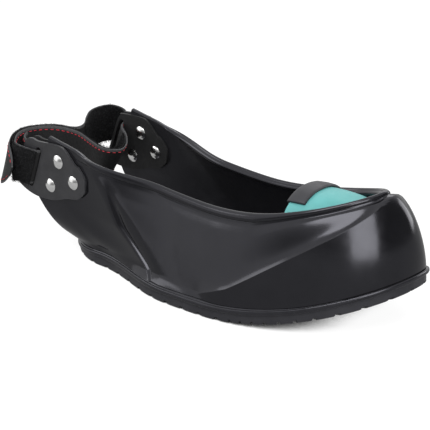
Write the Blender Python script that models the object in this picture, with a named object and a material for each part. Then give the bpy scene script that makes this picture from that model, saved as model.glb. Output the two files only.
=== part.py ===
"""Open heel rubber overshoe with a toe cap, a slip resistant sole and a hook and loop heel strap.

Frame: +X to the toe, +Y to the wearer's left, +Z up, origin on the ground under the middle of the sole.
"""
import math

import bmesh
import bpy
import numpy as np
from mathutils import Matrix

# Plan of the sole, in metres
SOLE_LENGTH = 0.300
HEEL_WIDTH = 0.088
BALL_WIDTH = 0.127
TOE_TAPER = 0.164
HEEL_ROUND = 0.050
TOE_BLUNTNESS = 2.27
HEEL_BLUNTNESS = 2.2
TOE_SPRING = 0.030
TOE_SWING = 0.025
BEND_START = 0.020
# Outsole
SOLE_THICKNESS = 0.012
WELT_PROUD = 0.0016
WELT_HEIGHT = 0.0045
WELT_LEDGE = 0.0030
LEDGE_EXTRA = 0.0028
LEDGE_WIDE_X = -0.042
LEDGE_RUN = 0.032
TOE_LEDGE = 0.0006
FOOTBED_DROP = 0.0020
FOOTBED_SIDE = 0.82
FOOTBED_TOE = 0.90
FOOTBED_BLEND = 0.060
FOOTBED_SLOPE = 0.04
TREAD_PITCH = 0.0155
TREAD_TOE = 0.175
TREAD_HEEL = 0.062
GROOVE_WIDTH = 0.0040
GROOVE_DEPTH = 0.0017
GROOVE_DRAFT = 0.0007
HUB_SHARE = 0.30
HEEL_BEVEL = 0.0050
# Upper shell
WALL = 0.0038
COLLAR_LOW = 0.0745
COLLAR_REAR = 0.0945
COLLAR_FRONT = 0.0965
COLLAR_LOW_X = 0.010
COLLAR_SETBACK = 0.0295
COLLAR_HALF = 0.0350
COLLAR_ROUND = 0.0805
WING_HALF = 0.0490
WING_TOP_X = -0.146
WING_KNEE_X = -0.1615
WING_KNEE_RISE = 0.42
WING_FOOT_X = -0.131
WING_FLAT_X = -0.105
COLLAR_STRAIGHT_X = -0.038
WING_BLEND_X = -0.050
BEAD_RADIUS = 0.0024
BEAD_GROOVE = 0.0007
BEAD_FADE_X = -0.040
BEAD_FADE = 0.055
BEAD_ROWS = (3.4, 2.5, 2.0, 1.6, 1.0, 0.4, 0.0)
RIDGE_PROUD = 0.0034
RIDGE_FOOT_X = 0.010
RIDGE_DROP = 0.82
RIDGE_SPREAD = 0.35
TOE_LEAN = 0.88
SIDE_LEAN = 0.45
WING_LEAN = 0.20
PANEL_DEPTH = 0.0009
PANEL_GROOVE = 0.0018
PANEL_FOOT_X = -0.036
PANEL_HEAD_X = -0.098
PANEL_FADE_X = 0.020
PANEL_SHARE = 0.60
PANEL_LIP = 0.014
PANEL_TOP = 2.5
PANEL_TOP_RUN = 0.9
PANEL_CORNER = 3.0
PANEL_CORNER_RUN = 5.0
GROOVE_TOP = 7.0
GROOVE_TOP_RUN = 4.0
FAN_X = 0.040
# Toe cap and its edge guard
CAP_LENGTH = 0.066
CAP_TOE_ROOM = 0.018
CAP_HALF = 0.0420
CAP_TOP = 0.0926
CAP_FLOOR_GAP = 0.0016
CAP_WALL = 0.0020
CAP_FACETS = 28
GUARD_NEAR = 4
GUARD_FAR = 5
GUARD_REACH = 0.0125
GUARD_LIP = 0.0060
GUARD_WALL = 0.0021
# Strap anchors and their rivets
ANCHOR_THICKNESS = 0.0020
ANCHOR_LOBE = 0.0135
RIVET_A = (-0.1340, 0.0800)
RIVET_B = (-0.1435, 0.0585)
RIVET_C = (-0.1182, 0.0664)
RIVET_HEAD = 0.0110
RIVET_RISE = 0.0026
RIVET_POST = 0.0034
RIVET_FIT = 0.0003
SLOT_TOP = (-0.1545, 0.0872)
SLOT_LENGTH = 0.0365
SLOT_WIDTH = 0.0060
SLOT_TILT = 20.0
ANCHOR_TAIL = 0.0170
LEFT_TAIL = 0.0080
# Heel strap
STRAP_WIDTH = 0.0320
STRAP_THICKNESS = 0.0016
PILE_THICKNESS = 0.0012
HOOK_THICKNESS = 0.0009
TAB_LENGTH = 0.043
TAB_FLARE = 0.30
TAB_DROOP = 0.0045
# Clearance between touching pieces
GAP = 0.0003

TOE_X = SOLE_LENGTH / 2
HEEL_X = -SOLE_LENGTH / 2
HEEL_HALF = HEEL_WIDTH / 2
BALL_HALF = BALL_WIDTH / 2
TAPER_X = TOE_X - TOE_TAPER
COLLAR_FRONT_X = TOE_X - COLLAR_SETBACK
CAP_REAR_X = TOE_X - CAP_TOE_ROOM - CAP_LENGTH
ROUND_X = HEEL_X + HEEL_ROUND
WELT_Z = SOLE_THICKNESS
PILE_WIDTH = STRAP_WIDTH - 0.001
HOOK_WIDTH = STRAP_WIDTH - 0.003
# The strap's path is laid out in 32nds of its width
UNIT = STRAP_WIDTH / 32
FLAP_OUT = WING_HALF + GAP + ANCHOR_THICKNESS
FLAP_IN = WING_HALF - WALL - GAP - ANCHOR_THICKNESS


# Shape rules of the shoe
def smooth(value):
    """Smooth step from 0 to 1."""
    value = min(1.0, max(0.0, value))
    return value * value * (3 - 2 * value)


def bend(x):
    """Share of the toe's rise and swing at x."""
    return (max(0.0, x - BEND_START) / (TOE_X - BEND_START)) ** 2


def centre_y(x):
    return TOE_SWING * bend(x)


def spring_z(x):
    return TOE_SPRING * bend(x)


def round_off(share, bluntness):
    """Height of a superellipse quarter at a share of its length."""
    return max(0.0, 1 - min(1.0, max(0.0, share)) ** bluntness) ** (1 / bluntness)


def sole_half(x):
    """Half width of the sole at x."""
    base = HEEL_HALF + (BALL_HALF - HEEL_HALF) * smooth((x - ROUND_X) / (TAPER_X - ROUND_X))
    toe = round_off((x - TAPER_X) / TOE_TAPER, TOE_BLUNTNESS)
    heel = round_off((ROUND_X - x) / HEEL_ROUND, HEEL_BLUNTNESS)
    return base * toe * heel


def upper_half(x):
    """Half width of the upper where it stands on the welt's ledge."""
    shrink = (TOE_X - TOE_LEDGE) / TOE_X
    ledge = WELT_LEDGE + (TOE_LEDGE - WELT_LEDGE) * smooth((x - FAN_X) / (TOE_X - FAN_X) * 1.6)
    ledge += LEDGE_EXTRA * math.exp(-((x - LEDGE_WIDE_X) / LEDGE_RUN) ** 2)
    return max(0.0, sole_half(x / shrink) - ledge)


def collar_half(x):
    """Half width of the collar's edge at x."""
    share = (COLLAR_STRAIGHT_X - x) / (COLLAR_STRAIGHT_X - WING_FLAT_X)
    rear = COLLAR_HALF + (WING_HALF - COLLAR_HALF) * smooth(share)
    front = round_off((x - (COLLAR_FRONT_X - COLLAR_ROUND)) / COLLAR_ROUND, 1.8)
    return rear * front


def collar_z(x):
    """Height of the collar's edge at x."""
    if x < COLLAR_LOW_X:
        share = (COLLAR_LOW_X - x) / (COLLAR_LOW_X - WING_TOP_X)
        return COLLAR_LOW + (COLLAR_REAR - COLLAR_LOW) * share ** 1.55
    share = (x - COLLAR_LOW_X) / (COLLAR_FRONT_X - COLLAR_LOW_X)
    return COLLAR_LOW + (COLLAR_FRONT - COLLAR_LOW) * share ** 1.9


def follow(back, panel_x, rear_x):
    """Place of a side section's end, from the fan past the panel's rear edge to the wing's rear."""
    if back <= PANEL_SHARE:
        return FAN_X + (panel_x - FAN_X) * back / PANEL_SHARE
    return panel_x + (rear_x - panel_x) * (back - PANEL_SHARE) / (1 - PANEL_SHARE)


def ray_hit(origin_x, angle, half):
    """Point where a ray from the centre line meets a half outline."""
    low, high = 0.0, SOLE_LENGTH
    for _ in range(48):
        reach = (low + high) / 2
        x = origin_x + reach * math.cos(angle)
        if reach * math.sin(angle) < half(x) - 1e-9 or (angle < 1e-6 and half(x) > 1e-9):
            low = reach
        else:
            high = reach
    return origin_x + low * math.cos(angle), low * math.sin(angle)


class UpperStation:
    """One section of the upper: its foot on the welt and its collar point, both on one half."""

    def __init__(self, share):
        self.share = share
        if share <= 1.0:
            angle = share * math.pi / 2
            self.foot = ray_hit(FAN_X, angle, upper_half)
            self.collar = ray_hit(FAN_X, angle, collar_half)
            self.knee_x = self.collar[0]
            self.ridge = 1.0 - RIDGE_DROP * share ** 0.9
            self.round = TOE_LEAN + (SIDE_LEAN - TOE_LEAN) * share
            self.back = 0.0
        else:
            back = share - 1.0
            self.back = back
            foot_x = follow(back, PANEL_FOOT_X, WING_FOOT_X)
            collar_x = follow(back, PANEL_HEAD_X, WING_TOP_X)
            knee_x = follow(back, PANEL_HEAD_X, WING_KNEE_X)
            self.foot = (foot_x, upper_half(foot_x))
            self.collar = (collar_x, collar_half(collar_x))
            self.knee_x = knee_x
            self.ridge = (1 - RIDGE_DROP) * (foot_x - RIDGE_FOOT_X) / (FAN_X - RIDGE_FOOT_X)
            self.round = SIDE_LEAN + (WING_LEAN - SIDE_LEAN) * smooth(back * 2)
        self.ridge = min(0.97, max(0.03, self.ridge))
        mid_x = (self.foot[0] + self.collar[0]) / 2
        self.wing = smooth((WING_BLEND_X - mid_x) / (WING_BLEND_X - WING_FLAT_X))
        self.front = smooth((self.foot[0] - RIDGE_FOOT_X) / (FAN_X - RIDGE_FOOT_X))
        self.bead = 1.0 - smooth((BEAD_FADE_X - mid_x) / BEAD_FADE)

    def base(self, rise):
        """Point of the smooth wall, where rise 0 is the welt and 1 the collar."""
        turn = rise * math.pi / 2
        up = math.sin(turn)
        lean = self.round * (1 - math.cos(turn)) + (1 - self.round) * up
        below_knee = min(1.0, up / WING_KNEE_RISE)
        above_knee = max(0.0, up - WING_KNEE_RISE) / (1 - WING_KNEE_RISE)
        wing_x = self.foot[0] + (self.knee_x - self.foot[0]) * below_knee
        wing_x += (self.collar[0] - self.knee_x) * above_knee
        x = self.foot[0] + (self.collar[0] - self.foot[0]) * (lean if self.share <= 1.0 else up)
        x += (wing_x - x) * self.wing
        lean += (1 - (1 - below_knee) ** 3 - lean) * self.wing
        y = self.foot[1] + (self.collar[1] - self.foot[1]) * lean
        foot_z = WELT_Z + GAP + spring_z(self.foot[0])
        edge_z = collar_z(self.collar[0]) + BEAD_RADIUS * (1 - self.bead)
        return x, y, foot_z + (edge_z - foot_z) * up


def upper_point(station, rise):
    """Smooth wall point and its outward normal, on the left half before the toe swings."""
    step = 0.012
    low_share, high_share = max(0.0, station.share - step), min(2.0, station.share + step)
    level = min(0.96, max(0.02, rise))
    along = np.subtract(UpperStation(high_share).base(level), UpperStation(low_share).base(level))
    if station.share < step:
        along = np.array((0.0, 1.0, 0.0))
    up = np.subtract(station.base(level + 0.02), station.base(level - 0.02))
    normal = np.cross(along, up)
    normal /= np.linalg.norm(normal)
    return np.array(station.base(rise)), normal


def wall_offset(station, rise, drop):
    """How far the outer face stands proud of the wall, where drop counts bead radii from the collar."""
    below = station.ridge - math.sin(rise * math.pi / 2)
    ridge = RIDGE_PROUD * station.front * (math.exp(-below / RIDGE_SPREAD) if below > -1e-6 else 0.0)
    inside = (PANEL_SHARE - station.back) / PANEL_LIP
    corner = PANEL_CORNER * max(0.0, 1 - inside / PANEL_CORNER_RUN) ** 2
    panel = smooth(inside) * smooth((drop - PANEL_TOP) / (PANEL_TOP_RUN + corner))
    panel *= smooth((PANEL_FADE_X - station.foot[0]) / (PANEL_FADE_X - PANEL_FOOT_X))
    groove = max(0.0, 1 - abs(inside)) * smooth((drop - GROOVE_TOP) / GROOVE_TOP_RUN)
    return ridge - PANEL_DEPTH * panel - PANEL_GROOVE * groove


def outer_rows(station):
    """Rise of each row up the outer face, and its bead radii from the collar."""
    ridge = math.asin(station.ridge) * 2 / math.pi
    edge = np.array(station.base(1.0))
    speed = np.linalg.norm(edge - np.array(station.base(0.94))) / 0.06
    radius = BEAD_RADIUS / max(speed, 0.02)
    bead = [1 - distance * radius for distance in BEAD_ROWS]
    top = bead[0]
    ridge = min(ridge, top - 0.06)
    lower = [ridge * k / 5 for k in range(6)]
    upper = [ridge + (top - ridge) * share for share in (0.05, 0.25, 0.5, 0.75)]
    return [(rise, (1 - rise) / radius) for rise in lower + upper + bead]


def bead_offset(distance):
    """Rise of the rolled collar bead at a distance from the edge, in bead radii."""
    if distance <= 2.0:
        return BEAD_RADIUS * math.sqrt(max(0.0, 1 - (distance - 1) ** 2))
    return -BEAD_GROOVE if distance < 3.0 else 0.0


def swing(point):
    """Moves a point from the straight plan to the plan with the swung toe."""
    return np.array((point[0], point[1] + centre_y(point[0]), point[2]))


def level_with_ground(normal):
    """Unit vector in the ground plane below another one."""
    flat = normal * (1, 1, 0)
    return flat / np.linalg.norm(flat)


def upper_section(station, side):
    """Closed section of the upper at a station, up the outer face and down the inner one."""
    loop = []
    for rise, drop in outer_rows(station):
        base, normal = upper_point(station, rise)
        if rise == 0.0:
            normal = level_with_ground(normal)
        proud = wall_offset(station, rise, drop) + bead_offset(drop) * station.bead
        loop.append(base + normal * proud)
    for rise in (1.0, 0.86, 0.72, 0.56, 0.40, 0.24, 0.10):
        base, normal = upper_point(station, rise)
        loop.append(base - normal * WALL)
    base, normal = upper_point(station, 0.0)
    inner_foot = base - level_with_ground(normal) * WALL
    inner_foot[2] += spring_z(inner_foot[0]) - spring_z(base[0])
    loop.append(inner_foot)
    return [swing(point * (1, side, 1)) for point in loop]


# Mesh helpers
def new_object(name, mesh, material):
    item = bpy.data.objects.new(name, mesh)
    bpy.context.scene.collection.objects.link(item)
    if material:
        mesh.materials.append(material)
    return item


def finish_mesh(name, bm, material, smooth_angle=35):
    """Cleans a bmesh, points its faces out and makes it an object."""
    bmesh.ops.remove_doubles(bm, verts=bm.verts, dist=1e-6)
    bmesh.ops.dissolve_degenerate(bm, edges=bm.edges, dist=1e-7)
    bmesh.ops.recalc_face_normals(bm, faces=bm.faces)
    if bm.calc_volume(signed=True) < 0:
        bmesh.ops.reverse_faces(bm, faces=bm.faces)
    mesh = bpy.data.meshes.new(name)
    bm.to_mesh(mesh)
    bm.free()
    mesh.shade_smooth()
    mesh.set_sharp_from_angle(angle=math.radians(smooth_angle))
    return new_object(name, mesh, material)


def loft(sections):
    """Joins closed sections of equal length into a solid."""
    bm = bmesh.new()
    rings = [[bm.verts.new(point) for point in section] for section in sections]
    count = len(rings[0])
    for first, second in zip(rings, rings[1:]):
        for k in range(count):
            n = (k + 1) % count
            start, end = (first, second) if 2 * k < count else (second, first)
            corners = (first[k], first[n], second[n], second[k])
            bm.faces.new([corner for corner in corners if corner is not start[n]])
            bm.faces.new([corner for corner in corners if corner is not end[k]])
    bm.faces.new(list(reversed(rings[0])))
    bm.faces.new(rings[-1])
    return bm


def curve_through(points, per_span):
    """Points of a smooth curve through the given ones."""
    points = np.array(points, dtype=float)
    padded = np.vstack([2 * points[0] - points[1], points, 2 * points[-1] - points[-2]])
    result = []
    for k in range(1, len(padded) - 2):
        a, b, c, d = padded[k - 1:k + 3]
        for step in range(per_span):
            t = step / per_span
            result.append(0.5 * (2 * b + (c - a) * t + (2 * a - 5 * b + 4 * c - d) * t * t
                                 + (3 * b - a - 3 * c + d) * t ** 3))
    result.append(points[-1])
    return np.array(result)


def closed_curve(points, per_span):
    """Points of a smooth closed curve through the given ones."""
    points = [tuple(point) for point in points]
    ring = points[-2:] + points + points[:2]
    return curve_through(ring, per_span)[2 * per_span:-2 * per_span - 1]


def plate(outline, holes, y_from, y_to):
    """Flat plate from an outline and holes in x and z, between two y planes."""
    bm = bmesh.new()
    edges = []
    for ring in [outline] + holes:
        verts = [bm.verts.new((x, y_from, z)) for x, z in ring]
        edges += [bm.edges.new((verts[k], verts[(k + 1) % len(verts)])) for k in range(len(verts))]
    bmesh.ops.triangle_fill(bm, use_beauty=True, edges=edges)
    extruded = bmesh.ops.extrude_face_region(bm, geom=bm.faces[:])
    moved = [item for item in extruded["geom"] if isinstance(item, bmesh.types.BMVert)]
    bmesh.ops.translate(bm, verts=moved, vec=(0, y_to - y_from, 0))
    return bm


def circle(centre, radius, count):
    steps = [2 * math.pi * k / count for k in range(count)]
    return [(centre[0] + radius * math.cos(a), centre[1] + radius * math.sin(a)) for a in steps]


def turned(profile, centre, y_start, direction, count):
    """Solid of revolution about Y: the profile holds radius and height pairs, with flat ends."""
    sections = []
    for radius, height in profile:
        ring = circle(centre, radius, count)
        sections.append([(x, y_start + direction * height, z) for x, z in ring])
    return loft(sections)


def boolean(item, other, operation):
    modifier = item.modifiers.new(operation.title(), "BOOLEAN")
    modifier.object = other
    modifier.operation = operation
    modifier.solver = "EXACT"
    other.hide_render = True
    other.display_type = "WIRE"


def material(name, colour, roughness, metallic=0.0):
    made = bpy.data.materials.new(name)
    made.use_nodes = True
    shader = made.node_tree.nodes["Principled BSDF"]
    shader.inputs["Base Color"].default_value = (*colour, 1.0)
    shader.inputs["Roughness"].default_value = roughness
    shader.inputs["Metallic"].default_value = metallic
    return made


# Pieces of the shoe
def make_upper(finish):
    """Moulded upper: toe box, side panels, collar bead and two rear wings in one shell."""
    front = [k / 16 for k in range(17)]
    edge = 1 + PANEL_SHARE
    panel = [1 + (PANEL_SHARE - PANEL_LIP) * k / 11 for k in range(1, 12)]
    rear = edge + PANEL_LIP
    wing = [edge] + [rear + (2 - rear) * k / 10 for k in range(11)]
    half = [UpperStation(share) for share in front + panel + wing]
    left = [upper_section(station, 1) for station in reversed(half)]
    right = [upper_section(station, -1) for station in half[1:]]
    shell = finish_mesh("upper_shell", loft(left + right), finish)
    hole = RIVET_POST / 2 + RIVET_FIT
    depth = 4 * WALL
    for side in (1, -1):
        for place in (RIVET_A, RIVET_B, RIVET_C):
            drill = turned([(hole, 0), (hole, depth)], place, side * (WING_HALF + WALL), -side, 12)
            boolean(shell, finish_mesh("drill", drill, None), "DIFFERENCE")
    return shell


def tread_shares():
    """Stations round half the sole: each groove has four, and each lug runs between two grooves."""
    side = FAN_X - ROUND_X
    total = TREAD_TOE + side + TREAD_HEEL
    count = round(total / TREAD_PITCH)
    half_groove = GROOVE_WIDTH / 2
    stops = [(0.0, False), (total, False)]
    for k in range(count):
        middle = (k + 0.5) * total / count
        stops += [(middle - half_groove - GROOVE_DRAFT, False), (middle - half_groove, True),
                  (middle + half_groove, True), (middle + half_groove + GROOVE_DRAFT, False)]
    result = []
    for distance, groove in sorted(stops):
        past_toe = distance - TREAD_TOE
        if past_toe <= 0:
            result.append((0, distance / TREAD_TOE * math.pi / 2, groove))
        elif past_toe <= side:
            result.append((1, FAN_X - past_toe, groove))
        else:
            result.append((2, math.pi / 2 + (past_toe - side) / TREAD_HEEL * math.pi / 2, groove))
    return result


def sole_station(kind, value):
    """Hub point and edge point of a tread station on one half, in the straight plan."""
    if kind == 0:
        return (FAN_X, 0.0), ray_hit(FAN_X, value, sole_half)
    if kind == 1:
        return (value, 0.0), (value, sole_half(value))
    return (ROUND_X, 0.0), ray_hit(ROUND_X, min(value, math.pi - 1e-7), sole_half)


def sole_section(hub, edge, out, groove, side):
    """Open section of half the sole, from under its middle, round the edge, to the middle on top."""
    def along(share, height, proud=0.0):
        x = hub[0] + (edge[0] - hub[0]) * share + out[0] * proud
        y = hub[1] + (edge[1] - hub[1]) * share + out[1] * proud
        place = swing((x, side * y, height))
        place[2] += spring_z(hub[0] + (edge[0] - hub[0]) * share)
        return place
    lug = GROOVE_DEPTH if groove else 0.0
    bevel = HEEL_BEVEL * smooth((ROUND_X - edge[0]) / HEEL_ROUND)
    bed = FOOTBED_SIDE + (FOOTBED_TOE - FOOTBED_SIDE) * smooth((edge[0] - FAN_X) / FOOTBED_BLEND)
    inner = HUB_SHARE + 0.10
    bead_low = WELT_Z - WELT_HEIGHT
    return [along(0.0, 0.0), along(HUB_SHARE, 0.0), along(HUB_SHARE + 0.02, GROOVE_DEPTH),
            along(inner - 0.02, GROOVE_DEPTH), along(inner, lug), along(1.0, lug + bevel),
            along(1.0, bead_low, 0.0004), along(1.0, bead_low + 0.0008, WELT_PROUD),
            along(1.0, WELT_Z - 0.0012, WELT_PROUD), along(1.0, WELT_Z, WELT_PROUD * 0.55),
            along(bed, WELT_Z), along(bed - FOOTBED_SLOPE, WELT_Z - FOOTBED_DROP),
            along(0.5, WELT_Z - FOOTBED_DROP), along(0.0, WELT_Z - FOOTBED_DROP)]


def make_outsole(finish):
    """Rubber sole with a welt bead, lugs that fan out at toe and heel, and a dished footbed."""
    stations = [(sole_station(kind, value), groove) for kind, value, groove in tread_shares()]
    edges = np.array([edge for (_, edge), _ in stations])
    tangents = np.gradient(edges, axis=0)
    tangents[0] = (0.0, 1.0)
    tangents[-1] = (0.0, -1.0)
    bm = bmesh.new()
    for side in (1, -1):
        rows = []
        for ((hub, edge), groove), tangent in zip(stations, tangents):
            out = np.array((tangent[1], -tangent[0])) / np.linalg.norm(tangent)
            rows.append([bm.verts.new(place) for place in sole_section(hub, edge, out, groove, side)])
        for first, second in zip(rows, rows[1:]):
            for k in range(len(first) - 1):
                bm.faces.new((first[k], first[k + 1], second[k + 1], second[k]))
    return finish_mesh("outsole", bm, finish, 30)


def cap_arch(x, turn, inset=0.0):
    """Point of the toe cap's outer face at x, where turn runs from 0 to 1 over the arch."""
    share = (x - CAP_REAR_X) / CAP_LENGTH
    half = CAP_HALF * round_off(share, 2.6) - inset
    floor = WELT_Z - FOOTBED_DROP + spring_z(x) + CAP_FLOOR_GAP
    height = (CAP_TOP - floor) * round_off(share, 3.4) - inset
    angle = math.pi * turn
    y = -math.copysign(abs(math.cos(angle)) ** (2 / 2.4), math.cos(angle)) * half
    return swing((x, y, floor + height * math.sin(angle) ** (2 / 2.4)))


def make_toe_cap(finish):
    """Painted metal toe cap: an arched scoop, open at the rear and underneath."""
    stops = [CAP_REAR_X + CAP_LENGTH * math.sin(k / 12 * math.radians(82)) for k in range(13)]
    turns = [k / CAP_FACETS for k in range(CAP_FACETS + 1)]
    sections = []
    for x in stops:
        outer = [cap_arch(x, turn) for turn in turns]
        inner = [cap_arch(x, turn, CAP_WALL) for turn in reversed(turns)]
        sections.append(outer + inner)
    bm = bmesh.new()
    rings = [[bm.verts.new(point) for point in section] for section in sections]
    count = len(rings[0])
    half = len(turns)
    for first, second in zip(rings, rings[1:]):
        for k in range(count):
            n = (k + 1) % count
            bm.faces.new((first[k], first[n], second[n], second[k]))
    for ring, order in ((rings[0], 1), (rings[-1], -1)):
        for k in range(half - 1):
            face = (ring[k], ring[k + 1], ring[count - 2 - k], ring[count - 1 - k])
            bm.faces.new(face[::order])
    return finish_mesh("toe_cap", bm, finish)


def make_guard(finish):
    """Rubber edge guard pressed on the cap's rear arch, a channel with its ends cut square."""
    middle = CAP_FACETS // 2
    top = GAP + GUARD_WALL
    outer = [(GUARD_REACH, GAP), (GUARD_REACH, GAP + GUARD_WALL * 0.7), (GUARD_REACH - 0.0015, top),
             (0.0, top), (-GUARD_WALL, GAP + GUARD_WALL * 0.2)]
    inner = [(-GUARD_WALL - GAP, -GUARD_WALL), (GUARD_LIP, -GAP - GUARD_WALL), (GUARD_LIP, -GAP),
             (-GAP, -GAP)]
    profile = [(*place, 0.0) for place in outer] + [(*place, CAP_WALL) for place in inner]
    profile.append((-GAP, GAP, 0.0))
    sections = []
    for k in range(middle - GUARD_NEAR, middle + GUARD_FAR + 1):
        along = cap_arch(CAP_REAR_X, (k + 1) / CAP_FACETS) - cap_arch(CAP_REAR_X, (k - 1) / CAP_FACETS)
        normal = np.array((0.0, -along[2], along[1])) / np.linalg.norm(along)
        section = []
        for reach, height, inset in profile:
            here = cap_arch(CAP_REAR_X + max(0.0, reach), k / CAP_FACETS, inset)
            section.append(here + normal * height + (min(0.0, reach), 0, 0))
        sections.append(section)
    return finish_mesh("toe_cap_guard", loft(sections), finish)


def slot_axis():
    """Unit vector down the strap slot, in x and z."""
    tilt = math.radians(SLOT_TILT)
    return np.array((-math.sin(tilt), -math.cos(tilt)))


def slot_centre():
    return np.array(SLOT_TOP) + slot_axis() * SLOT_LENGTH / 2


def anchor_outline(tail):
    """Three lobes round the rivets and a tail behind the strap slot, in x and z."""
    a, b, c = np.array(RIVET_A), np.array(RIVET_B), np.array(RIVET_C)
    down = slot_axis()
    rear = np.array((down[1], -down[0]))
    top = np.array(SLOT_TOP)
    low = top + down * SLOT_LENGTH
    lobe = ANCHOR_LOBE
    points = [c + (lobe * 0.95, lobe * 0.35), c + (lobe * 0.45, lobe * 0.98),
              (a + c) / 2 + (lobe * 0.72, lobe * 0.62), a + (lobe * 0.55, lobe * 0.85),
              a + (-lobe * 0.15, lobe),
              top - down * 0.0045 + rear * 0.004, top - down * 0.0030 + rear * tail * 0.75,
              top + down * 0.004 + rear * tail, low - down * 0.004 + rear * tail,
              low + down * 0.0042 + rear * tail * 0.70, low + down * 0.0048 - rear * 0.006,
              b + (lobe * 0.15, -lobe * 0.88), (b + c) / 2 + (lobe * 0.35, -lobe * 0.82),
              c + (lobe * 0.35, -lobe * 0.92), c + (lobe * 0.97, -lobe * 0.30)]
    return closed_curve(points, 3)


def slot_ring():
    """Rounded slot for the strap, in x and z."""
    down = slot_axis()
    rear = np.array((down[1], -down[0]))
    half = SLOT_WIDTH / 2
    length = SLOT_LENGTH / 2 - half
    ring = []
    for end in (1, -1):
        for k in range(5):
            turn = math.pi * k / 4
            ring.append(slot_centre() + down * end * (length + half * math.sin(turn))
                        + rear * end * half * math.cos(turn))
    return ring


def tail_ring(tail):
    """Inner block of the folded tail, in x and z, just inside the outline behind the slot."""
    down = slot_axis()
    rear = np.array((down[1], -down[0]))
    near, far = SLOT_WIDTH / 2 + 0.0012, tail - 0.0008
    reach = SLOT_LENGTH / 2 - 0.001
    cut = min(0.004, (far - near) / 2)
    corners = ((-reach, near), (-reach, far - cut), (-reach + cut, far), (reach - cut, far),
               (reach, far - cut), (reach, near))
    return [slot_centre() + down * drop + rear * back for drop, back in corners]


def make_anchor(name, side, tail, finish):
    """Leather anchor folded round the wing's rear: an outer and an inner flap joined by its tail."""
    holes = [circle(place, RIVET_POST / 2 + RIVET_FIT, 12) for place in (RIVET_A, RIVET_B, RIVET_C)]
    holes.append(slot_ring())
    outline = anchor_outline(tail)
    face = side * FLAP_OUT
    outer = finish_mesh(name, plate(outline, holes, face - side * ANCHOR_THICKNESS, face), finish, 30)
    back = side * FLAP_IN
    inner = finish_mesh("inner_flap", plate(outline, holes, back + side * ANCHOR_THICKNESS, back), None)
    block = finish_mesh("tail_block", plate(tail_ring(tail), [], face - side * ANCHOR_THICKNESS / 2,
                                            back + side * ANCHOR_THICKNESS / 2), None)
    boolean(outer, block, "UNION")
    boolean(outer, inner, "UNION")
    return outer


def make_rivets(hand, side, finish):
    """Three domed rivets through one wing: a headed post outside and a cap inside each."""
    head, rise, post = RIVET_HEAD / 2, RIVET_RISE, RIVET_POST / 2
    grip = FLAP_OUT - FLAP_IN
    dome = [(head * 0.12, rise), (head * 0.48, rise * 0.90), (head * 0.80, rise * 0.58), (head, rise * 0.25),
            (head, GAP)]
    for letter, place in (("a", RIVET_A), ("b", RIVET_B), ("c", RIVET_C)):
        outer = dome + [(post, GAP), (post, -grip)]
        finish_mesh(f"{hand}_rivet_{letter}", turned(outer, place, side * FLAP_OUT, side, 14), finish)
        finish_mesh(f"{hand}_rivet_cap_{letter}", turned(dome, place, side * FLAP_IN, -side, 14), finish)


# Heel strap, as ribbons standing on edge along a plan curve
def path_frames(path):
    """Tangent, width direction and outward face direction at each row of a strap path."""
    tangents = np.gradient(path[:, :3], axis=0)
    tangents /= np.linalg.norm(tangents, axis=1)[:, None]
    ups = np.column_stack([path[:, 3:5], np.ones(len(path))])
    ups /= np.linalg.norm(ups, axis=1)[:, None]
    faces = np.cross(ups, tangents)
    faces /= np.linalg.norm(faces, axis=1)[:, None]
    return tangents, ups, faces


def beside(path, distance):
    """Path at a distance from another one, on its outward side."""
    moved = path.copy()
    moved[:, :3] += path_frames(path)[2] * distance
    return moved


def travelled(path):
    """Length along a path at each of its rows."""
    return np.concatenate([[0], np.cumsum(np.linalg.norm(np.diff(path[:, :3], axis=0), axis=1))])


def stretch(path, start, end, rows):
    """Rows evenly spread along a path between two lengths."""
    lengths = travelled(path)
    wanted = np.linspace(start, end, rows)
    return np.column_stack([np.interp(wanted, lengths, path[:, k]) for k in range(path.shape[1])])


def ribbon(path, width, thickness, shift=0.0, rows=slice(None), thin_start=False, thin_end=False,
           round_end=False):
    """Ribbon solid along rows of a path, shifted outwards from the path by a distance.

    A path row holds x, y and z of the ribbon's middle and the x and y lean of its width.
    """
    _, ups, faces = path_frames(path)
    left = travelled(path)[-1] - travelled(path)
    chosen = range(len(path))[rows]
    sections = []
    for k in chosen:
        thin = (k == chosen[0] and thin_start) or (k == chosen[-1] and thin_end)
        deep = thickness / 2 * (0.3 if thin else 1.0)
        half = width / 2
        if round_end and left[k] < half:
            half = max(0.25 * half, math.sqrt(max(0.0, half ** 2 - (half - left[k]) ** 2)))
        corners = ((1, 0.5), (0.97, 1), (-0.97, 1), (-1, 0.5),
                   (-1, -0.5), (-0.97, -1), (0.97, -1), (1, -0.5))
        middle = path[k, :3] + faces[k] * shift
        sections.append([middle + ups[k] * a * half + faces[k] * b * deep for a, b in corners])
    return loft(sections)


def flared(path):
    """Path that droops along its length, and whose lower edge stands further out."""
    share = np.linspace(0, 1, len(path)) ** 1.5
    flare = TAB_FLARE * share
    away = -path_frames(path)[2]
    moved = path.copy()
    moved[:, :3] += away * flare[:, None] * STRAP_WIDTH / 2
    moved[:, 2] -= TAB_DROOP * share
    moved[:, 3:5] -= away[:, :2] * flare[:, None]
    return moved


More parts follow.
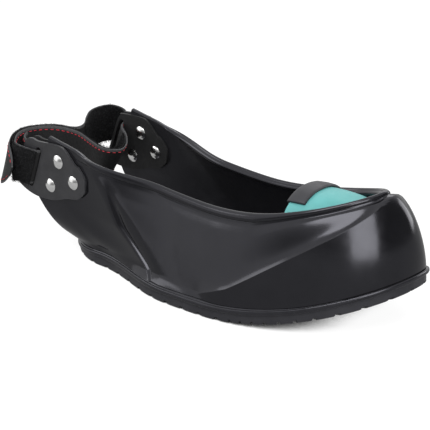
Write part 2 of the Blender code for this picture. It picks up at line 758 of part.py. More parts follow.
def heel_rows():
    """Strap rows: sewn end, round the right anchor's tail, across the heel, out of the left slot."""
    x, z = slot_centre()
    tilt = math.tan(math.radians(SLOT_TILT))
    outside = FLAP_OUT + STRAP_THICKNESS / 2 + 2 * GAP
    inside = FLAP_IN - STRAP_THICKNESS / 2 - 2 * GAP
    middle = (outside + inside) / 2
    tail = x - ANCHOR_TAIL
    turn = 1.2 * UNIT
    sewn = [(tail - 17 * UNIT, -27 * UNIT, z, 0, 0), (tail - 12 * UNIT, -35 * UNIT, z, 0.05, 0),
            (tail - 3.5 * UNIT, 0.6 * UNIT - inside, z, 0.15, 0), (x - 10 * UNIT, -inside, z, tilt, 0),
            (x - turn, -inside - 0.4 * UNIT, z, tilt, 0), (x + turn, -middle, z, tilt, 0),
            (x - turn, 0.4 * UNIT - outside, z, tilt, 0), (x - 10 * UNIT, -outside, z, tilt, 0)]
    bend_rows = [(tail - 2.5 * UNIT, -outside, z, 0.15, 0),
                 (tail - 10 * UNIT, 5.5 * UNIT - outside, z, 0.05, 0),
                 (tail - 17 * UNIT, -37 * UNIT, z + UNIT, 0, 0),
                 (tail - 21 * UNIT, -24.5 * UNIT, z + UNIT, 0, 0),
                 (tail - 20 * UNIT, -12 * UNIT, z, 0, 0), (tail - 12 * UNIT, -3 * UNIT, z, 0, 0)]
    across = [(-19, 2.5, -1, 0.05, 0.0), (-4, 3, -1, 0.10, -0.10), (10, 0, -2, 0.20, -0.20),
              (22, -4, -2, 0.40, -0.25), (31, -4.5, -2, 0.55, -0.20), (36.5, 0.5, -2, 0.65, -0.05),
              (35, 8, -1, 0.60, 0.05), (28, 16.5, 0, 0.50, 0.10), (19, 25.5, 0, 0.45, 0.05),
              (10, 33.5, 0, tilt, 0)]
    across = [(x + a * UNIT, b * UNIT, z + c * UNIT, *lean) for a, b, c, *lean in across]
    left = [(x + turn * 2, inside, z, tilt, 0), (x, middle, z, tilt, 0), (x - turn, outside, z, tilt, 0)]
    return sewn + bend_rows + across + left


def hinge_point():
    """Place just outside the left slot where the strap folds back."""
    x, z = slot_centre()
    return np.array((x - 4 * UNIT, FLAP_OUT + STRAP_THICKNESS / 2 + 3 * GAP, z))


def hang_on(name, place, items, parent=None):
    """Puts pieces on an empty that stands on their hinge."""
    pivot = bpy.data.objects.new(name, None)
    bpy.context.scene.collection.objects.link(pivot)
    pivot.empty_display_size = STRAP_WIDTH
    pivot.location = place
    pivot.parent = parent
    if parent:
        pivot.matrix_parent_inverse = Matrix.Translation(parent.location).inverted()
    for item in items:
        item.parent = pivot
        item.matrix_parent_inverse = Matrix.Translation(place).inverted()
    return pivot


def make_strap(backing, pile, hooks):
    """Heel strap: fixed run with loop pile, and the folded back end with its pile, hooks and tab."""
    x, z = slot_centre()
    span = 2
    run = curve_through(heel_rows(), span)
    finish_mesh("heel_strap", ribbon(run, STRAP_WIDTH, STRAP_THICKNESS, thin_end=True), backing)
    skin = (STRAP_THICKNESS + PILE_THICKNESS) / 2 + GAP
    catch = (STRAP_THICKNESS + HOOK_THICKNESS) / 2 + GAP
    pile_rows = slice(6 * span + 1, 22 * span)
    finish_mesh("heel_strap_pile", ribbon(run, PILE_WIDTH, PILE_THICKNESS, skin, pile_rows), pile)
    stack = STRAP_THICKNESS + PILE_THICKNESS + HOOK_THICKNESS + 3 * GAP
    lap = beside(run, stack)[8 * span:14 * span + 1][::-1]
    hinge = hinge_point()
    tail = x - ANCHOR_TAIL
    tilt = math.tan(math.radians(SLOT_TILT))
    loop_rows = [(*(hinge + (-0.3 * UNIT, 0.6 * UNIT, 0)), tilt, 0),
                 (x - 9.5 * UNIT, hinge[1] + 8.5 * UNIT, z, tilt * 0.6, 0),
                 (tail - 0.5 * UNIT, hinge[1] + 14.5 * UNIT, z + 1 * UNIT, 0.1, 0),
                 (tail - 9 * UNIT, hinge[1] + 11 * UNIT, z + 3 * UNIT, 0, 0),
                 (tail - 11.5 * UNIT, hinge[1] - 1 * UNIT, z + 4 * UNIT, 0, 0),
                 (tail - 9 * UNIT, 38 * UNIT, z + 4 * UNIT, 0, 0),
                 (tail - 3 * UNIT, 27 * UNIT, z + 2 * UNIT, 0, 0), (tail + 3 * UNIT, 18.5 * UNIT, z, 0, 0),
                 (tail + 3 * UNIT, 11.5 * UNIT, z - 1 * UNIT, 0, 0)]
    loop_part = curve_through(loop_rows + [tuple(lap[0]), tuple(lap[1])], span)[:-span]
    fold = np.vstack([loop_part, lap[1:]])
    lap_row = len(loop_part)
    tab_row = lap_row + 2 * span
    tab_start = travelled(fold)[tab_row]
    hinge_gap = 0.4 * UNIT
    fold_run = np.vstack([fold[:tab_row], stretch(fold, tab_start - hinge_gap, tab_start, 2)[:1]])
    band = ribbon(fold_run, STRAP_WIDTH, STRAP_THICKNESS, thin_start=True, thin_end=True)
    fuzz = ribbon(fold_run, PILE_WIDTH, PILE_THICKNESS, skin, slice(1, lap_row - 2 * span))
    grip = ribbon(fold_run, HOOK_WIDTH, HOOK_THICKNESS, catch, slice(lap_row, tab_row))
    tab = flared(stretch(fold, tab_start + hinge_gap, tab_start + TAB_LENGTH, 18))
    tab_band = ribbon(tab, STRAP_WIDTH, STRAP_THICKNESS, thin_start=True, round_end=True)
    tab_grip = ribbon(tab, HOOK_WIDTH, HOOK_THICKNESS, catch, slice(1, 7))
    fold_pivot = hang_on("fold_hinge", hinge, [finish_mesh("fold_strap", band, backing),
                                               finish_mesh("fold_strap_pile", fuzz, pile),
                                               finish_mesh("fold_strap_hook", grip, hooks)])
    tab_place = stretch(fold, tab_start, tab_start, 1)[0, :3]
    hang_on("tab_hinge", tab_place, [finish_mesh("strap_tab", tab_band, backing),
                                     finish_mesh("strap_tab_hook", tab_grip, hooks)], fold_pivot)


def main():
    for item in list(bpy.data.objects):
        bpy.data.objects.remove(item, do_unlink=True)
    rubber = material("glossy_black_rubber", (0.035, 0.035, 0.040), 0.28)
    tread = material("matte_black_rubber", (0.040, 0.040, 0.045), 0.65)
    paint = material("turquoise_paint", (0.19, 0.58, 0.54), 0.45)
    guard = material("soft_black_rubber", (0.06, 0.06, 0.063), 0.60)
    leather = material("black_leather", (0.085, 0.082, 0.092), 0.62)
    steel = material("nickel_plated_steel", (0.86, 0.86, 0.85), 0.16, 1.0)
    webbing = material("black_strap_backing", (0.020, 0.020, 0.022), 0.60)
    loops = material("black_loop_pile", (0.008, 0.008, 0.009), 0.95)
    barbs = material("black_hook_tape", (0.012, 0.012, 0.013), 0.70)
    make_upper(rubber)
    make_outsole(tread)
    make_toe_cap(paint)
    make_guard(guard)
    for hand, side, tail in (("right", -1, ANCHOR_TAIL), ("left", 1, LEFT_TAIL)):
        make_anchor(f"{hand}_strap_anchor", side, tail, leather)
        make_rivets(hand, side, steel)
    make_strap(webbing, loops, barbs)


main()
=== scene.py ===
"""Looks of the open heel overshoe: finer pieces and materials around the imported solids."""
import functools
import math
import random

import bmesh
import bpy
import numpy as np
from mathutils import Matrix, Vector


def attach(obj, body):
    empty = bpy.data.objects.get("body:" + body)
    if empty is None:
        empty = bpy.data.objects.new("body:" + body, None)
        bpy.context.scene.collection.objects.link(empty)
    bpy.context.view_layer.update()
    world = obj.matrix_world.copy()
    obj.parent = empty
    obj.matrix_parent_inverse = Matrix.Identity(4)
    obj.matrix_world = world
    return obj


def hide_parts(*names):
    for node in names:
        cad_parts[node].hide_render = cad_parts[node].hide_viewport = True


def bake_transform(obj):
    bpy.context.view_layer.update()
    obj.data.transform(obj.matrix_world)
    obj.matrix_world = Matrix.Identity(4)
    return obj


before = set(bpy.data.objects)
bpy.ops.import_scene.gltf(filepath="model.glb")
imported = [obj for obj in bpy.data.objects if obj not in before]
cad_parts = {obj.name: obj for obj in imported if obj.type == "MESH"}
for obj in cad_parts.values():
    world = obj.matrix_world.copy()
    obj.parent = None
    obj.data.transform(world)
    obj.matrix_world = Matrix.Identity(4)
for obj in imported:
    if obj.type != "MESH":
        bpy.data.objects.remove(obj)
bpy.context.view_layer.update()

# Camera, fitted to the photograph
IMAGE_SIDE = 430
CAMERA_AZIMUTH = 40.08
CAMERA_ELEVATION = 21.61
CAMERA_DISTANCE = 1.0881
CAMERA_FOCUS = 1419.9
CAMERA_RIGHT = -0.0136
CAMERA_UP = 0.0507
SENSOR = 36.0

# Sizes repeated from the part's source, in metres
SOLE_LENGTH = 0.300
HEEL_WIDTH = 0.088
BALL_WIDTH = 0.127
TOE_TAPER = 0.164
HEEL_ROUND = 0.050
TOE_BLUNTNESS = 2.27
TOE_SPRING = 0.030
TOE_SWING = 0.025
BEND_START = 0.020
SOLE_THICKNESS = 0.012
WELT_PROUD = 0.0016
WELT_HEIGHT = 0.0045
WELT_LEDGE = 0.0030
LEDGE_EXTRA = 0.0028
LEDGE_WIDE_X = -0.042
LEDGE_RUN = 0.032
TOE_LEDGE = 0.0006
TOE_LEDGE_RATE = 1.6
FOOTBED_DROP = 0.0020
FOOTBED_SIDE = 0.82
FOOTBED_TOE = 0.90
FOOTBED_BLEND = 0.060
FOOTBED_SLOPE = 0.04
TREAD_PITCH = 0.0155
TREAD_TOE = 0.175
TREAD_HEEL = 0.062
GROOVE_DEPTH = 0.0017
GROOVE_DRAFT = 0.0007
HUB_SHARE = 0.30
HUB_GROOVE = 0.10
HUB_DRAFT = 0.02
WALL = 0.0038
COLLAR_LOW = 0.0745
COLLAR_REAR = 0.0945
COLLAR_FRONT = 0.0965
COLLAR_LOW_X = 0.010
COLLAR_SETBACK = 0.0295
COLLAR_HALF = 0.0350
COLLAR_ROUND = 0.0805
COLLAR_BLUNTNESS = 1.8
COLLAR_REAR_SWEEP = 1.55
COLLAR_FRONT_SWEEP = 1.9
WING_HALF = 0.0490
WING_TOP_X = -0.146
WING_KNEE_X = -0.1615
WING_KNEE_RISE = 0.42
WING_FOOT_X = -0.131
WING_FLAT_X = -0.105
COLLAR_STRAIGHT_X = -0.038
WING_BLEND_X = -0.050
BEAD_RADIUS = 0.0024
BEAD_GROOVE = 0.0007
BEAD_GROOVE_IN = 0.35
BEAD_GROOVE_END = 2.6
BEAD_GROOVE_OUT = 0.9
BEAD_FADE_X = -0.040
BEAD_FADE = 0.055
RIDGE_PROUD = 0.0034
RIDGE_FOOT_X = 0.010
RIDGE_DROP = 0.82
RIDGE_SPREAD = 0.35
RIDGE_SWEEP = 0.9
RIDGE_LOWEST = 0.03
RIDGE_HIGHEST = 0.97
TOE_LEAN = 0.88
SIDE_LEAN = 0.45
WING_LEAN = 0.20
PANEL_FADE_X = 0.020
PANEL_SHARE = 0.60
PANEL_TOP = 2.5
FAN_X = 0.040
CAP_LENGTH = 0.066
CAP_TOE_ROOM = 0.018
CAP_HALF = 0.0420
CAP_TOP = 0.0926
CAP_FLOOR_GAP = 0.0016
CAP_WALL = 0.0020
CAP_PLAN = 2.6
CAP_PROFILE = 3.4
CAP_ARCH = 2.4
CAP_TURN = 82.0
CAP_FACETS = 28
GUARD_NEAR = 4
GUARD_FAR = 5
GUARD_REACH = 0.0125
GUARD_LIP = 0.0060
GUARD_WALL = 0.0021
ANCHOR_THICKNESS = 0.0020
ANCHOR_LOBE = 0.0135
RIVET_A = (-0.1340, 0.0800)
RIVET_B = (-0.1435, 0.0585)
RIVET_C = (-0.1182, 0.0664)
RIVET_HEAD = 0.0110
RIVET_RISE = 0.0026
SLOT_TOP = (-0.1545, 0.0872)
SLOT_LENGTH = 0.0365
SLOT_WIDTH = 0.0060
SLOT_TILT = 20.0
ANCHOR_TAIL = 0.0170
LEFT_TAIL = 0.0080
TAIL_CLEAR = 0.0006
TAIL_INSET = 0.0008
TAIL_SHORT = 0.001
TAIL_CORNER = 0.005
STRAP_WIDTH = 0.0320
STRAP_THICKNESS = 0.0016
PILE_THICKNESS = 0.0012
HOOK_THICKNESS = 0.0009
PILE_MARGIN = 0.001
HOOK_MARGIN = 0.003
TAB_FLARE = 0.30
TAB_DROOP = 0.0045
TAB_SWEEP = 1.5
FOLD_BACK = 0.0040
GAP = 0.0003

TOE_X = SOLE_LENGTH / 2
HEEL_X = -SOLE_LENGTH / 2
HEEL_HALF = HEEL_WIDTH / 2
BALL_HALF = BALL_WIDTH / 2
TAPER_X = TOE_X - TOE_TAPER
COLLAR_FRONT_X = TOE_X - COLLAR_SETBACK
CAP_REAR_X = TOE_X - CAP_TOE_ROOM - CAP_LENGTH
ROUND_X = HEEL_X + HEEL_ROUND
WELT_Z = SOLE_THICKNESS
PILE_WIDTH = STRAP_WIDTH - PILE_MARGIN
HOOK_WIDTH = STRAP_WIDTH - HOOK_MARGIN
FLAP_OUT = WING_HALF + GAP + ANCHOR_THICKNESS
FLAP_IN = WING_HALF - WALL - GAP - ANCHOR_THICKNESS

# Strap slot in x and z: unit vectors down it and to the rear, and its middle
SLOT_DOWN = np.array((-math.sin(math.radians(SLOT_TILT)), -math.cos(math.radians(SLOT_TILT))))
SLOT_REAR = np.array((SLOT_DOWN[1], -SLOT_DOWN[0]))
SLOT_CENTRE = np.array(SLOT_TOP) + SLOT_DOWN * SLOT_LENGTH / 2

# Sizes that follow the photograph more closely than the source does
HEEL_BLUNTNESS = 1.85
HEEL_RISE = 0.0014
HEEL_DROP = 0.0038
HEEL_DROP_X = -0.098
HEEL_DROP_RUN = 0.044
GROOVE_WIDTH = 0.0028
PANEL_DEPTH = 0.0012
PANEL_FOOT_X = -0.0300
PANEL_HEAD_X = -0.1060
PANEL_SCALE = 0.18
PANEL_RADIUS = 0.013
PANEL_EDGE = 0.0030
PANEL_GROOVE_INSET = 0.0026
PANEL_GROOVE_SPREAD = 0.0019
PANEL_GROOVE_DIP = 0.0014
PANEL_GROOVE_TOP = 0.4
PANEL_GROOVE_TURN = 0.006
PANEL_GROOVE_FOOT = 0.10
TAB_REACH = 0.053

# Finer detail that only the looks have
RIDGE_EDGE = 0.110
RIDGE_TOE_EDGE = 0.35
RIDGE_ROOM = 0.045
COLLAR_CROWN = 0.0010
FILLET_RISE = 1.25
FILLET_SWEEP = 1.4
FILLET_SHARE = 0.72
FILLET_END_X = 0.030
FILLET_FADE = 0.045
SKIRT_RISE = 0.024
SKIRT_SHARE = 0.36
UPPER_ROUND = 0.0011
WELT_GROOVE = 0.0008
WELT_ROOT = 0.0003
WELT_UNDERCUT = 0.0004
WELT_SWEEP = 0.6
LUG_ROUND = 0.0006
GUARD_ROUND = 0.0005
INNER_TAIL = 0.0056
LEATHER_ROUND = 0.0009
TAIL_ROUND = 0.0004
RIVET_RIM = 0.16
BAND_EDGE = 0.45
BAND_END = 0.25
PILE_LUMPS = 0.0004
HINGE_GAP = 0.0001
FOLD_PILE_START = 0.006
FOLD_PILE_END = 0.014
GRIP_END = 0.002
STITCH_LENGTH = 0.0030
STITCH_GAP = 0.0017
STITCH_RADIUS = 0.00034
STITCH_STOPS = (0.0, 0.12, 0.5, 0.88, 1.0)
STITCH_TIP = 0.35
STITCH_SINK = 0.0003
STITCH_INSET = 0.0030
STITCH_PROUD = 0.0001
TAB_STITCH_START = 0.0070
FIBRES_PER_METRE = 20000
FIBRE_LENGTH = 0.0024
FIBRE_RADIUS = 0.00013
FIBRE_TAPER = 0.6
FIBRE_CURL = 0.45
FIBRE_EDGE_SHARE = 0.35
FIBRE_EDGE = 0.96
FIBRE_STAND = (-0.1, 0.7)
FIBRE_SPLAY = 1.2
FIBRE_LEAN = (0.6, 0.7)
FIBRE_BEND = 0.8
FIBRE_SIZES = (0.5, 1.15)

# Fineness of the meshes: stations along a piece, rows and steps across it, spans along the strap
FRONT_STATIONS = 60
PANEL_STATIONS = 28
EDGE_STATIONS = 48
EDGE_SPAN = (0.10, 0.02)
WING_STATIONS = 26
LUG_STOPS = (0.32, 0.5, 0.68)
LOWER_ROWS = 18
RIDGE_ROWS = 7
RIDGE_BAND = 0.03
WALL_ROWS = 28
BEAD_DROPS = (3.6, 3.2, 2.8, 2.5, 2.25, 2.05)
BEAD_STEPS = 14
CROWN_STEPS = 8
INNER_ROWS = 14
INNER_REACH = 0.90
EDGE_RISE = 0.06
STATION_STEP = 0.012
RISE_STEP = 0.02
RISE_TOP = 0.96
WELT_STEPS = 10
WELT_ROWS = (12, 23)
CAP_RINGS = 36
CAP_STEPS = 84
GUARD_FINE = 6
OUTLINE_STEPS = 8
RIVET_STEPS = 14
RIVET_SIDES = 48
SPAN = 8
PILE_SPANS = (6, 22)
LAP_SPANS = (7, 14)
TAB_STEPS = 5
BAND_COLUMNS = 17
BAND_ROWS = 90
PILE_ROWS = 60
GRIP_ROWS = 16
TAB_BEND_ROWS = 10
TAB_GRIP_ROWS = 34
STITCH_SIDES = 6
FIBRE_SIDES = 3

# Studio
MIDDLE = Vector((0.02, 0.0, 0.05))
FLOOR_REACH = 6.0
FLOOR_Z = -0.0004
FLOOR_GREY = 0.22
FLOOR_GLOW = 0.90
FLOOR_GLOSS = 0.24
# Reach and occlusion range of the painted contact shadow in the floor's glow
CONTACT_REACH = 0.028
CONTACT_SHADE = (0.08, 0.30)
ROOM_LIGHT = 0.42
# Unlit sides of the room: azimuth, elevation, inner and outer angle in degrees, and depth
UNLIT_SIDES = ((102, 14, 26, 52, 0.90), (12, 2, 16, 42, 0.80))
# Softboxes: azimuth, elevation, distance, width, height, and brightness where 1 is white
SOFTBOXES = {"strip": (58, 10, 1.6, 0.60, 1.4, 5.0), "top": (22, 55, 1.6, 0.9, 0.8, 5.5),
             "side": (-62, 30, 1.8, 1.0, 0.5, 2.2), "back": (-160, 45, 1.8, 1.0, 0.6, 2.5),
             "rim": (148, 14, 1.8, 0.8, 0.9, 3.2)}


# Shape rules of the shoe
def smooth(value):
    """Smooth step from 0 to 1."""
    value = min(1.0, max(0.0, value))
    return value * value * (3 - 2 * value)


def bend(x):
    """Share of the toe's rise and swing at x."""
    return (max(0.0, x - BEND_START) / (TOE_X - BEND_START)) ** 2


def spring_z(x):
    """Rise of the toe at x."""
    return TOE_SPRING * bend(x)


def swing(point):
    """Moves a point from the straight plan to the plan with the swung toe."""
    return np.array((point[0], point[1] + TOE_SWING * bend(point[0]), point[2]))


def round_off(share, bluntness):
    """Height of a superellipse quarter at a share of its length."""
    return max(0.0, 1 - min(1.0, max(0.0, share)) ** bluntness) ** (1 / bluntness)


def sole_half(x):
    """Half width of the sole at x."""
    base = HEEL_HALF + (BALL_HALF - HEEL_HALF) * smooth((x - ROUND_X) / (TAPER_X - ROUND_X))
    toe = round_off((x - TAPER_X) / TOE_TAPER, TOE_BLUNTNESS)
    heel = round_off((ROUND_X - x) / HEEL_ROUND, HEEL_BLUNTNESS)
    return base * toe * heel


def ledge_width(x):
    """Width of the welt's ledge at x."""
    ledge = WELT_LEDGE + (TOE_LEDGE - WELT_LEDGE) * smooth((x - FAN_X) / (TOE_X - FAN_X) * TOE_LEDGE_RATE)
    return ledge + LEDGE_EXTRA * math.exp(-((x - LEDGE_WIDE_X) / LEDGE_RUN) ** 2)


def upper_half(x):
    """Half width of the upper where it stands on the welt's ledge."""
    shrink = (TOE_X - TOE_LEDGE) / TOE_X
    return max(0.0, sole_half(x / shrink) - ledge_width(x))


def heel_drop(x):
    """How far the welt comes down towards the end of the heel."""
    return HEEL_DROP * smooth((HEEL_DROP_X - x) / HEEL_DROP_RUN)


def collar_half(x):
    """Half width of the collar's edge at x."""
    share = (COLLAR_STRAIGHT_X - x) / (COLLAR_STRAIGHT_X - WING_FLAT_X)
    rear = COLLAR_HALF + (WING_HALF - COLLAR_HALF) * smooth(share)
    front = round_off((x - (COLLAR_FRONT_X - COLLAR_ROUND)) / COLLAR_ROUND, COLLAR_BLUNTNESS)
    return rear * front


def collar_z(x):
    """Height of the collar's edge at x."""
    if x < COLLAR_LOW_X:
        share = (COLLAR_LOW_X - x) / (COLLAR_LOW_X - WING_TOP_X)
        return COLLAR_LOW + (COLLAR_REAR - COLLAR_LOW) * share ** COLLAR_REAR_SWEEP
    share = (x - COLLAR_LOW_X) / (COLLAR_FRONT_X - COLLAR_LOW_X)
    return COLLAR_LOW + (COLLAR_FRONT - COLLAR_LOW) * share ** COLLAR_FRONT_SWEEP


def follow(back, panel_x, rear_x):
    """Place of a side section's end, from the fan past the panel's rear edge to the wing's rear."""
    if back <= PANEL_SHARE:
        return FAN_X + (panel_x - FAN_X) * back / PANEL_SHARE
    return panel_x + (rear_x - panel_x) * (back - PANEL_SHARE) / (1 - PANEL_SHARE)


def ray_hit(origin_x, angle, half):
    """Point where a ray from the centre line meets a half outline."""
    low, high = 0.0, SOLE_LENGTH
    for _ in range(48):
        reach = (low + high) / 2
        x = origin_x + reach * math.cos(angle)
        if reach * math.sin(angle) < half(x) - 1e-9 or (angle < 1e-6 and half(x) > 1e-9):
            low = reach
        else:
            high = reach
    return origin_x + low * math.cos(angle), low * math.sin(angle)


class UpperStation:
    """One section of the upper: its foot on the welt and its collar point, both on one half."""

    def __init__(self, share):
        self.share = share
        if share <= 1.0:
            angle = share * math.pi / 2
            self.foot = ray_hit(FAN_X, angle, upper_half)
            self.collar = ray_hit(FAN_X, angle, collar_half)
            self.knee_x = self.collar[0]
            self.ridge = 1.0 - RIDGE_DROP * share ** RIDGE_SWEEP
            self.round = TOE_LEAN + (SIDE_LEAN - TOE_LEAN) * share
            self.back = 0.0
        else:
            back = share - 1.0
            self.back = back
            foot_x = follow(back, PANEL_FOOT_X, WING_FOOT_X)
            collar_x = follow(back, PANEL_HEAD_X, WING_TOP_X)
            self.foot = (foot_x, upper_half(foot_x))
            self.collar = (collar_x, collar_half(collar_x))
            self.knee_x = follow(back, PANEL_HEAD_X, WING_KNEE_X)
            self.ridge = (1 - RIDGE_DROP) * (foot_x - RIDGE_FOOT_X) / (FAN_X - RIDGE_FOOT_X)
            self.round = SIDE_LEAN + (WING_LEAN - SIDE_LEAN) * smooth(back * 2)
        self.ridge = min(RIDGE_HIGHEST, max(RIDGE_LOWEST, self.ridge))
        mid_x = (self.foot[0] + self.collar[0]) / 2
        self.wing = smooth((WING_BLEND_X - mid_x) / (WING_BLEND_X - WING_FLAT_X))
        self.front = smooth((self.foot[0] - RIDGE_FOOT_X) / (FAN_X - RIDGE_FOOT_X))
        self.bead = 1.0 - smooth((BEAD_FADE_X - mid_x) / BEAD_FADE)

    def base(self, rise):
        """Point of the smooth wall, where rise 0 is the welt and 1 the collar."""
        turn = rise * math.pi / 2
        up = math.sin(turn)
        lean = self.round * (1 - math.cos(turn)) + (1 - self.round) * up
        below_knee = min(1.0, up / WING_KNEE_RISE)
        above_knee = max(0.0, up - WING_KNEE_RISE) / (1 - WING_KNEE_RISE)
        wing_x = self.foot[0] + (self.knee_x - self.foot[0]) * below_knee
        wing_x += (self.collar[0] - self.knee_x) * above_knee
        x = self.foot[0] + (self.collar[0] - self.foot[0]) * (lean if self.share <= 1.0 else up)
        x += (wing_x - x) * self.wing
        lean += (1 - (1 - below_knee) ** 3 - lean) * self.wing
        y = self.foot[1] + (self.collar[1] - self.foot[1]) * lean
        foot_z = WELT_Z + GAP + spring_z(self.foot[0]) - heel_drop(self.foot[0])
        edge_z = collar_z(self.collar[0]) + BEAD_RADIUS * (1 - self.bead)
        return x, y, foot_z + (edge_z - foot_z) * up


@functools.lru_cache(maxsize=None)
def station_at(share):
    return UpperStation(share)


def upper_point(station, rise):
    """Smooth wall point and its outward normal, on the left half before the toe swings."""
    before = station_at(max(0.0, station.share - STATION_STEP))
    after = station_at(min(2.0, station.share + STATION_STEP))
    level = min(RISE_TOP, max(RISE_STEP, rise))
    along = np.subtract(after.base(level), before.base(level))
    if station.share < STATION_STEP:
        along = np.array((0.0, 1.0, 0.0))
    up = np.subtract(station.base(level + RISE_STEP), station.base(level - RISE_STEP))
    normal = np.cross(along, up)
    normal /= np.linalg.norm(normal)
    return np.array(station.base(rise)), normal


def ridge_height(station, up):
    """Height of the toe's ridge, which falls off slowly below its line and fast above it."""
    below = station.ridge - up
    if below > 0:
        fall = math.exp(-below / RIDGE_SPREAD)
    else:
        edge = RIDGE_EDGE * (RIDGE_TOE_EDGE + (1 - RIDGE_TOE_EDGE) * min(1.0, station.share))
        fall = math.exp(below / edge) * (1 - smooth(-below / max(RIDGE_ROOM, 1 - station.ridge)))
    return RIDGE_PROUD * station.front * fall


def panel_depth(station, up, drop):
    """Depth of the side panel, whose upper rear corner is round, and of the groove inside its edge."""
    inside = PANEL_RADIUS - (PANEL_SHARE - station.back) * PANEL_SCALE
    under = PANEL_RADIUS - (drop - PANEL_TOP) * BEAD_RADIUS
    depth = PANEL_RADIUS - math.hypot(max(0.0, inside), max(0.0, under)) - min(0.0, max(inside, under))
    fade = smooth((PANEL_FADE_X - station.foot[0]) / (PANEL_FADE_X - PANEL_FOOT_X))
    rear = smooth((inside - under + PANEL_GROOVE_TURN) / (2 * PANEL_GROOVE_TURN))
    strength = (PANEL_GROOVE_TOP + (1 - PANEL_GROOVE_TOP) * rear) * smooth(up / PANEL_GROOVE_FOOT)
    groove = math.exp(-((depth - PANEL_GROOVE_INSET) / PANEL_GROOVE_SPREAD) ** 2) * strength
    return (PANEL_DEPTH * smooth(depth / PANEL_EDGE) + PANEL_GROOVE_DIP * groove) * fade


def wall_offset(station, rise, drop):
    """How far the outer face stands proud of the wall, where drop counts bead radii from the collar."""
    up = math.sin(rise * math.pi / 2)
    return ridge_height(station, up) - panel_depth(station, up, drop)


def foot_fillet(station, height):
    """How far the wall's foot spreads over the welt's ledge at a height above it."""
    ledge = ledge_width(station.foot[0])
    fade = smooth((station.foot[0] - FILLET_END_X + FILLET_FADE) / FILLET_FADE)
    close = max(0.0, 1 - height / (FILLET_RISE * ledge)) ** FILLET_SWEEP
    wide = max(0.0, 1 - height / SKIRT_RISE) ** 2
    return (ledge - TOE_LEDGE) * (1 - fade) * (FILLET_SHARE * close + SKIRT_SHARE * wide)


def bead_offset(distance):
    """Rise of the rolled collar bead, or dip of the groove under it, at bead radii from the edge."""
    if distance <= 2.0:
        return BEAD_RADIUS * math.sqrt(max(0.0, 1 - (distance - 1) ** 2))
    leave = smooth((distance - BEAD_GROOVE_END) / BEAD_GROOVE_OUT)
    return -BEAD_GROOVE * smooth((distance - 2.0) / BEAD_GROOVE_IN) * (1 - leave)


def level_with_ground(normal):
    """Unit vector in the ground plane below another one."""
    flat = normal * (1, 1, 0)
    return flat / np.linalg.norm(flat)


def spread(start, end, steps):
    """Even steps from a start, which is left out, to an end."""
    return [start + (end - start) * k / steps for k in range(1, steps + 1)]


def outer_rows(station):
    """Rise of each row up the outer face, and its bead radii from the collar."""
    speed = np.linalg.norm(np.subtract(station.base(1.0), station.base(1 - EDGE_RISE))) / EDGE_RISE
    radius = BEAD_RADIUS / max(speed, RISE_STEP)
    drops = [*BEAD_DROPS, *(1 + math.cos(math.pi * k / BEAD_STEPS) for k in range(BEAD_STEPS + 1))]
    bead = [1 - distance * radius for distance in drops]
    top = bead[0]
    ridge = min(math.asin(station.ridge) * 2 / math.pi, top - EDGE_RISE)
    fine = ridge + min(RIDGE_BAND, (top - ridge) / 2)
    lower = [ridge * math.sin(math.pi / 2 * k / LOWER_ROWS) for k in range(LOWER_ROWS + 1)]
    upper = spread(ridge, fine, RIDGE_ROWS) + spread(fine, top, WALL_ROWS)[:-1]
    return [(rise, (1 - rise) / radius) for rise in lower + upper + bead]


def upper_section(station, side):
    """Closed section of the upper, up the outer face, over the crown and down the inner face."""
    loop = []
    for rise, drop in outer_rows(station):
        base, normal = upper_point(station, rise)
        if rise == 0.0:
            normal = level_with_ground(normal)
        proud = wall_offset(station, rise, drop) + bead_offset(drop) * station.bead
        reach = foot_fillet(station, base[2] - station.base(0.0)[2])
        loop.append(base + normal * proud + level_with_ground(normal) * reach)
    base, normal = upper_point(station, 1.0)
    up = np.subtract(base, station.base(1 - EDGE_RISE))
    up /= np.linalg.norm(up)
    for k in range(1, CROWN_STEPS):
        share = k / CROWN_STEPS
        crown = COLLAR_CROWN * math.sqrt(1 - (2 * share - 1) ** 2)
        loop.append(base - normal * WALL * share + up * crown)
    for k in range(INNER_ROWS + 1):
        base, normal = upper_point(station, 1.0 - INNER_REACH * k / INNER_ROWS)
        loop.append(base - normal * WALL)
    base, normal = upper_point(station, 0.0)
    inner_foot = base - level_with_ground(normal) * WALL
    inner_foot[2] += spring_z(inner_foot[0]) - spring_z(base[0])
    loop.append(inner_foot)
    return [swing(point * (1, side, 1)) for point in loop]


# Mesh helpers
def link(name, data):
    """Puts data into the scene as an object."""
    item = bpy.data.objects.new(name, data)
    bpy.context.scene.collection.objects.link(item)
    return item


def add_piece(name, bm, materials, body, stands_for=(), smooth_angle=40):
    """Makes an object of a mesh, points its faces out and puts it on a body of the frame."""
    bmesh.ops.remove_doubles(bm, verts=bm.verts, dist=1e-6)
    bmesh.ops.recalc_face_normals(bm, faces=bm.faces)
    if bm.calc_volume(signed=True) < 0:
        bmesh.ops.reverse_faces(bm, faces=bm.faces)
    mesh = bpy.data.meshes.new(name)
    bm.to_mesh(mesh)
    bm.free()
    mesh.shade_smooth()
    mesh.set_sharp_from_angle(angle=math.radians(smooth_angle))
    for finish in materials:
        mesh.materials.append(finish)
    item = link(name, mesh)
    if body:
        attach(item, body)
    if stands_for:
        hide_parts(*stands_for)
    return item


def bevel(item, width, segments, angle=40):
    """Rounds a piece's edges."""
    modifier = item.modifiers.new("Round edges", "BEVEL")
    modifier.width = width
    modifier.segments = segments
    modifier.limit_method = "ANGLE"
    modifier.angle_limit = math.radians(angle)
    modifier.harden_normals = False
    return item


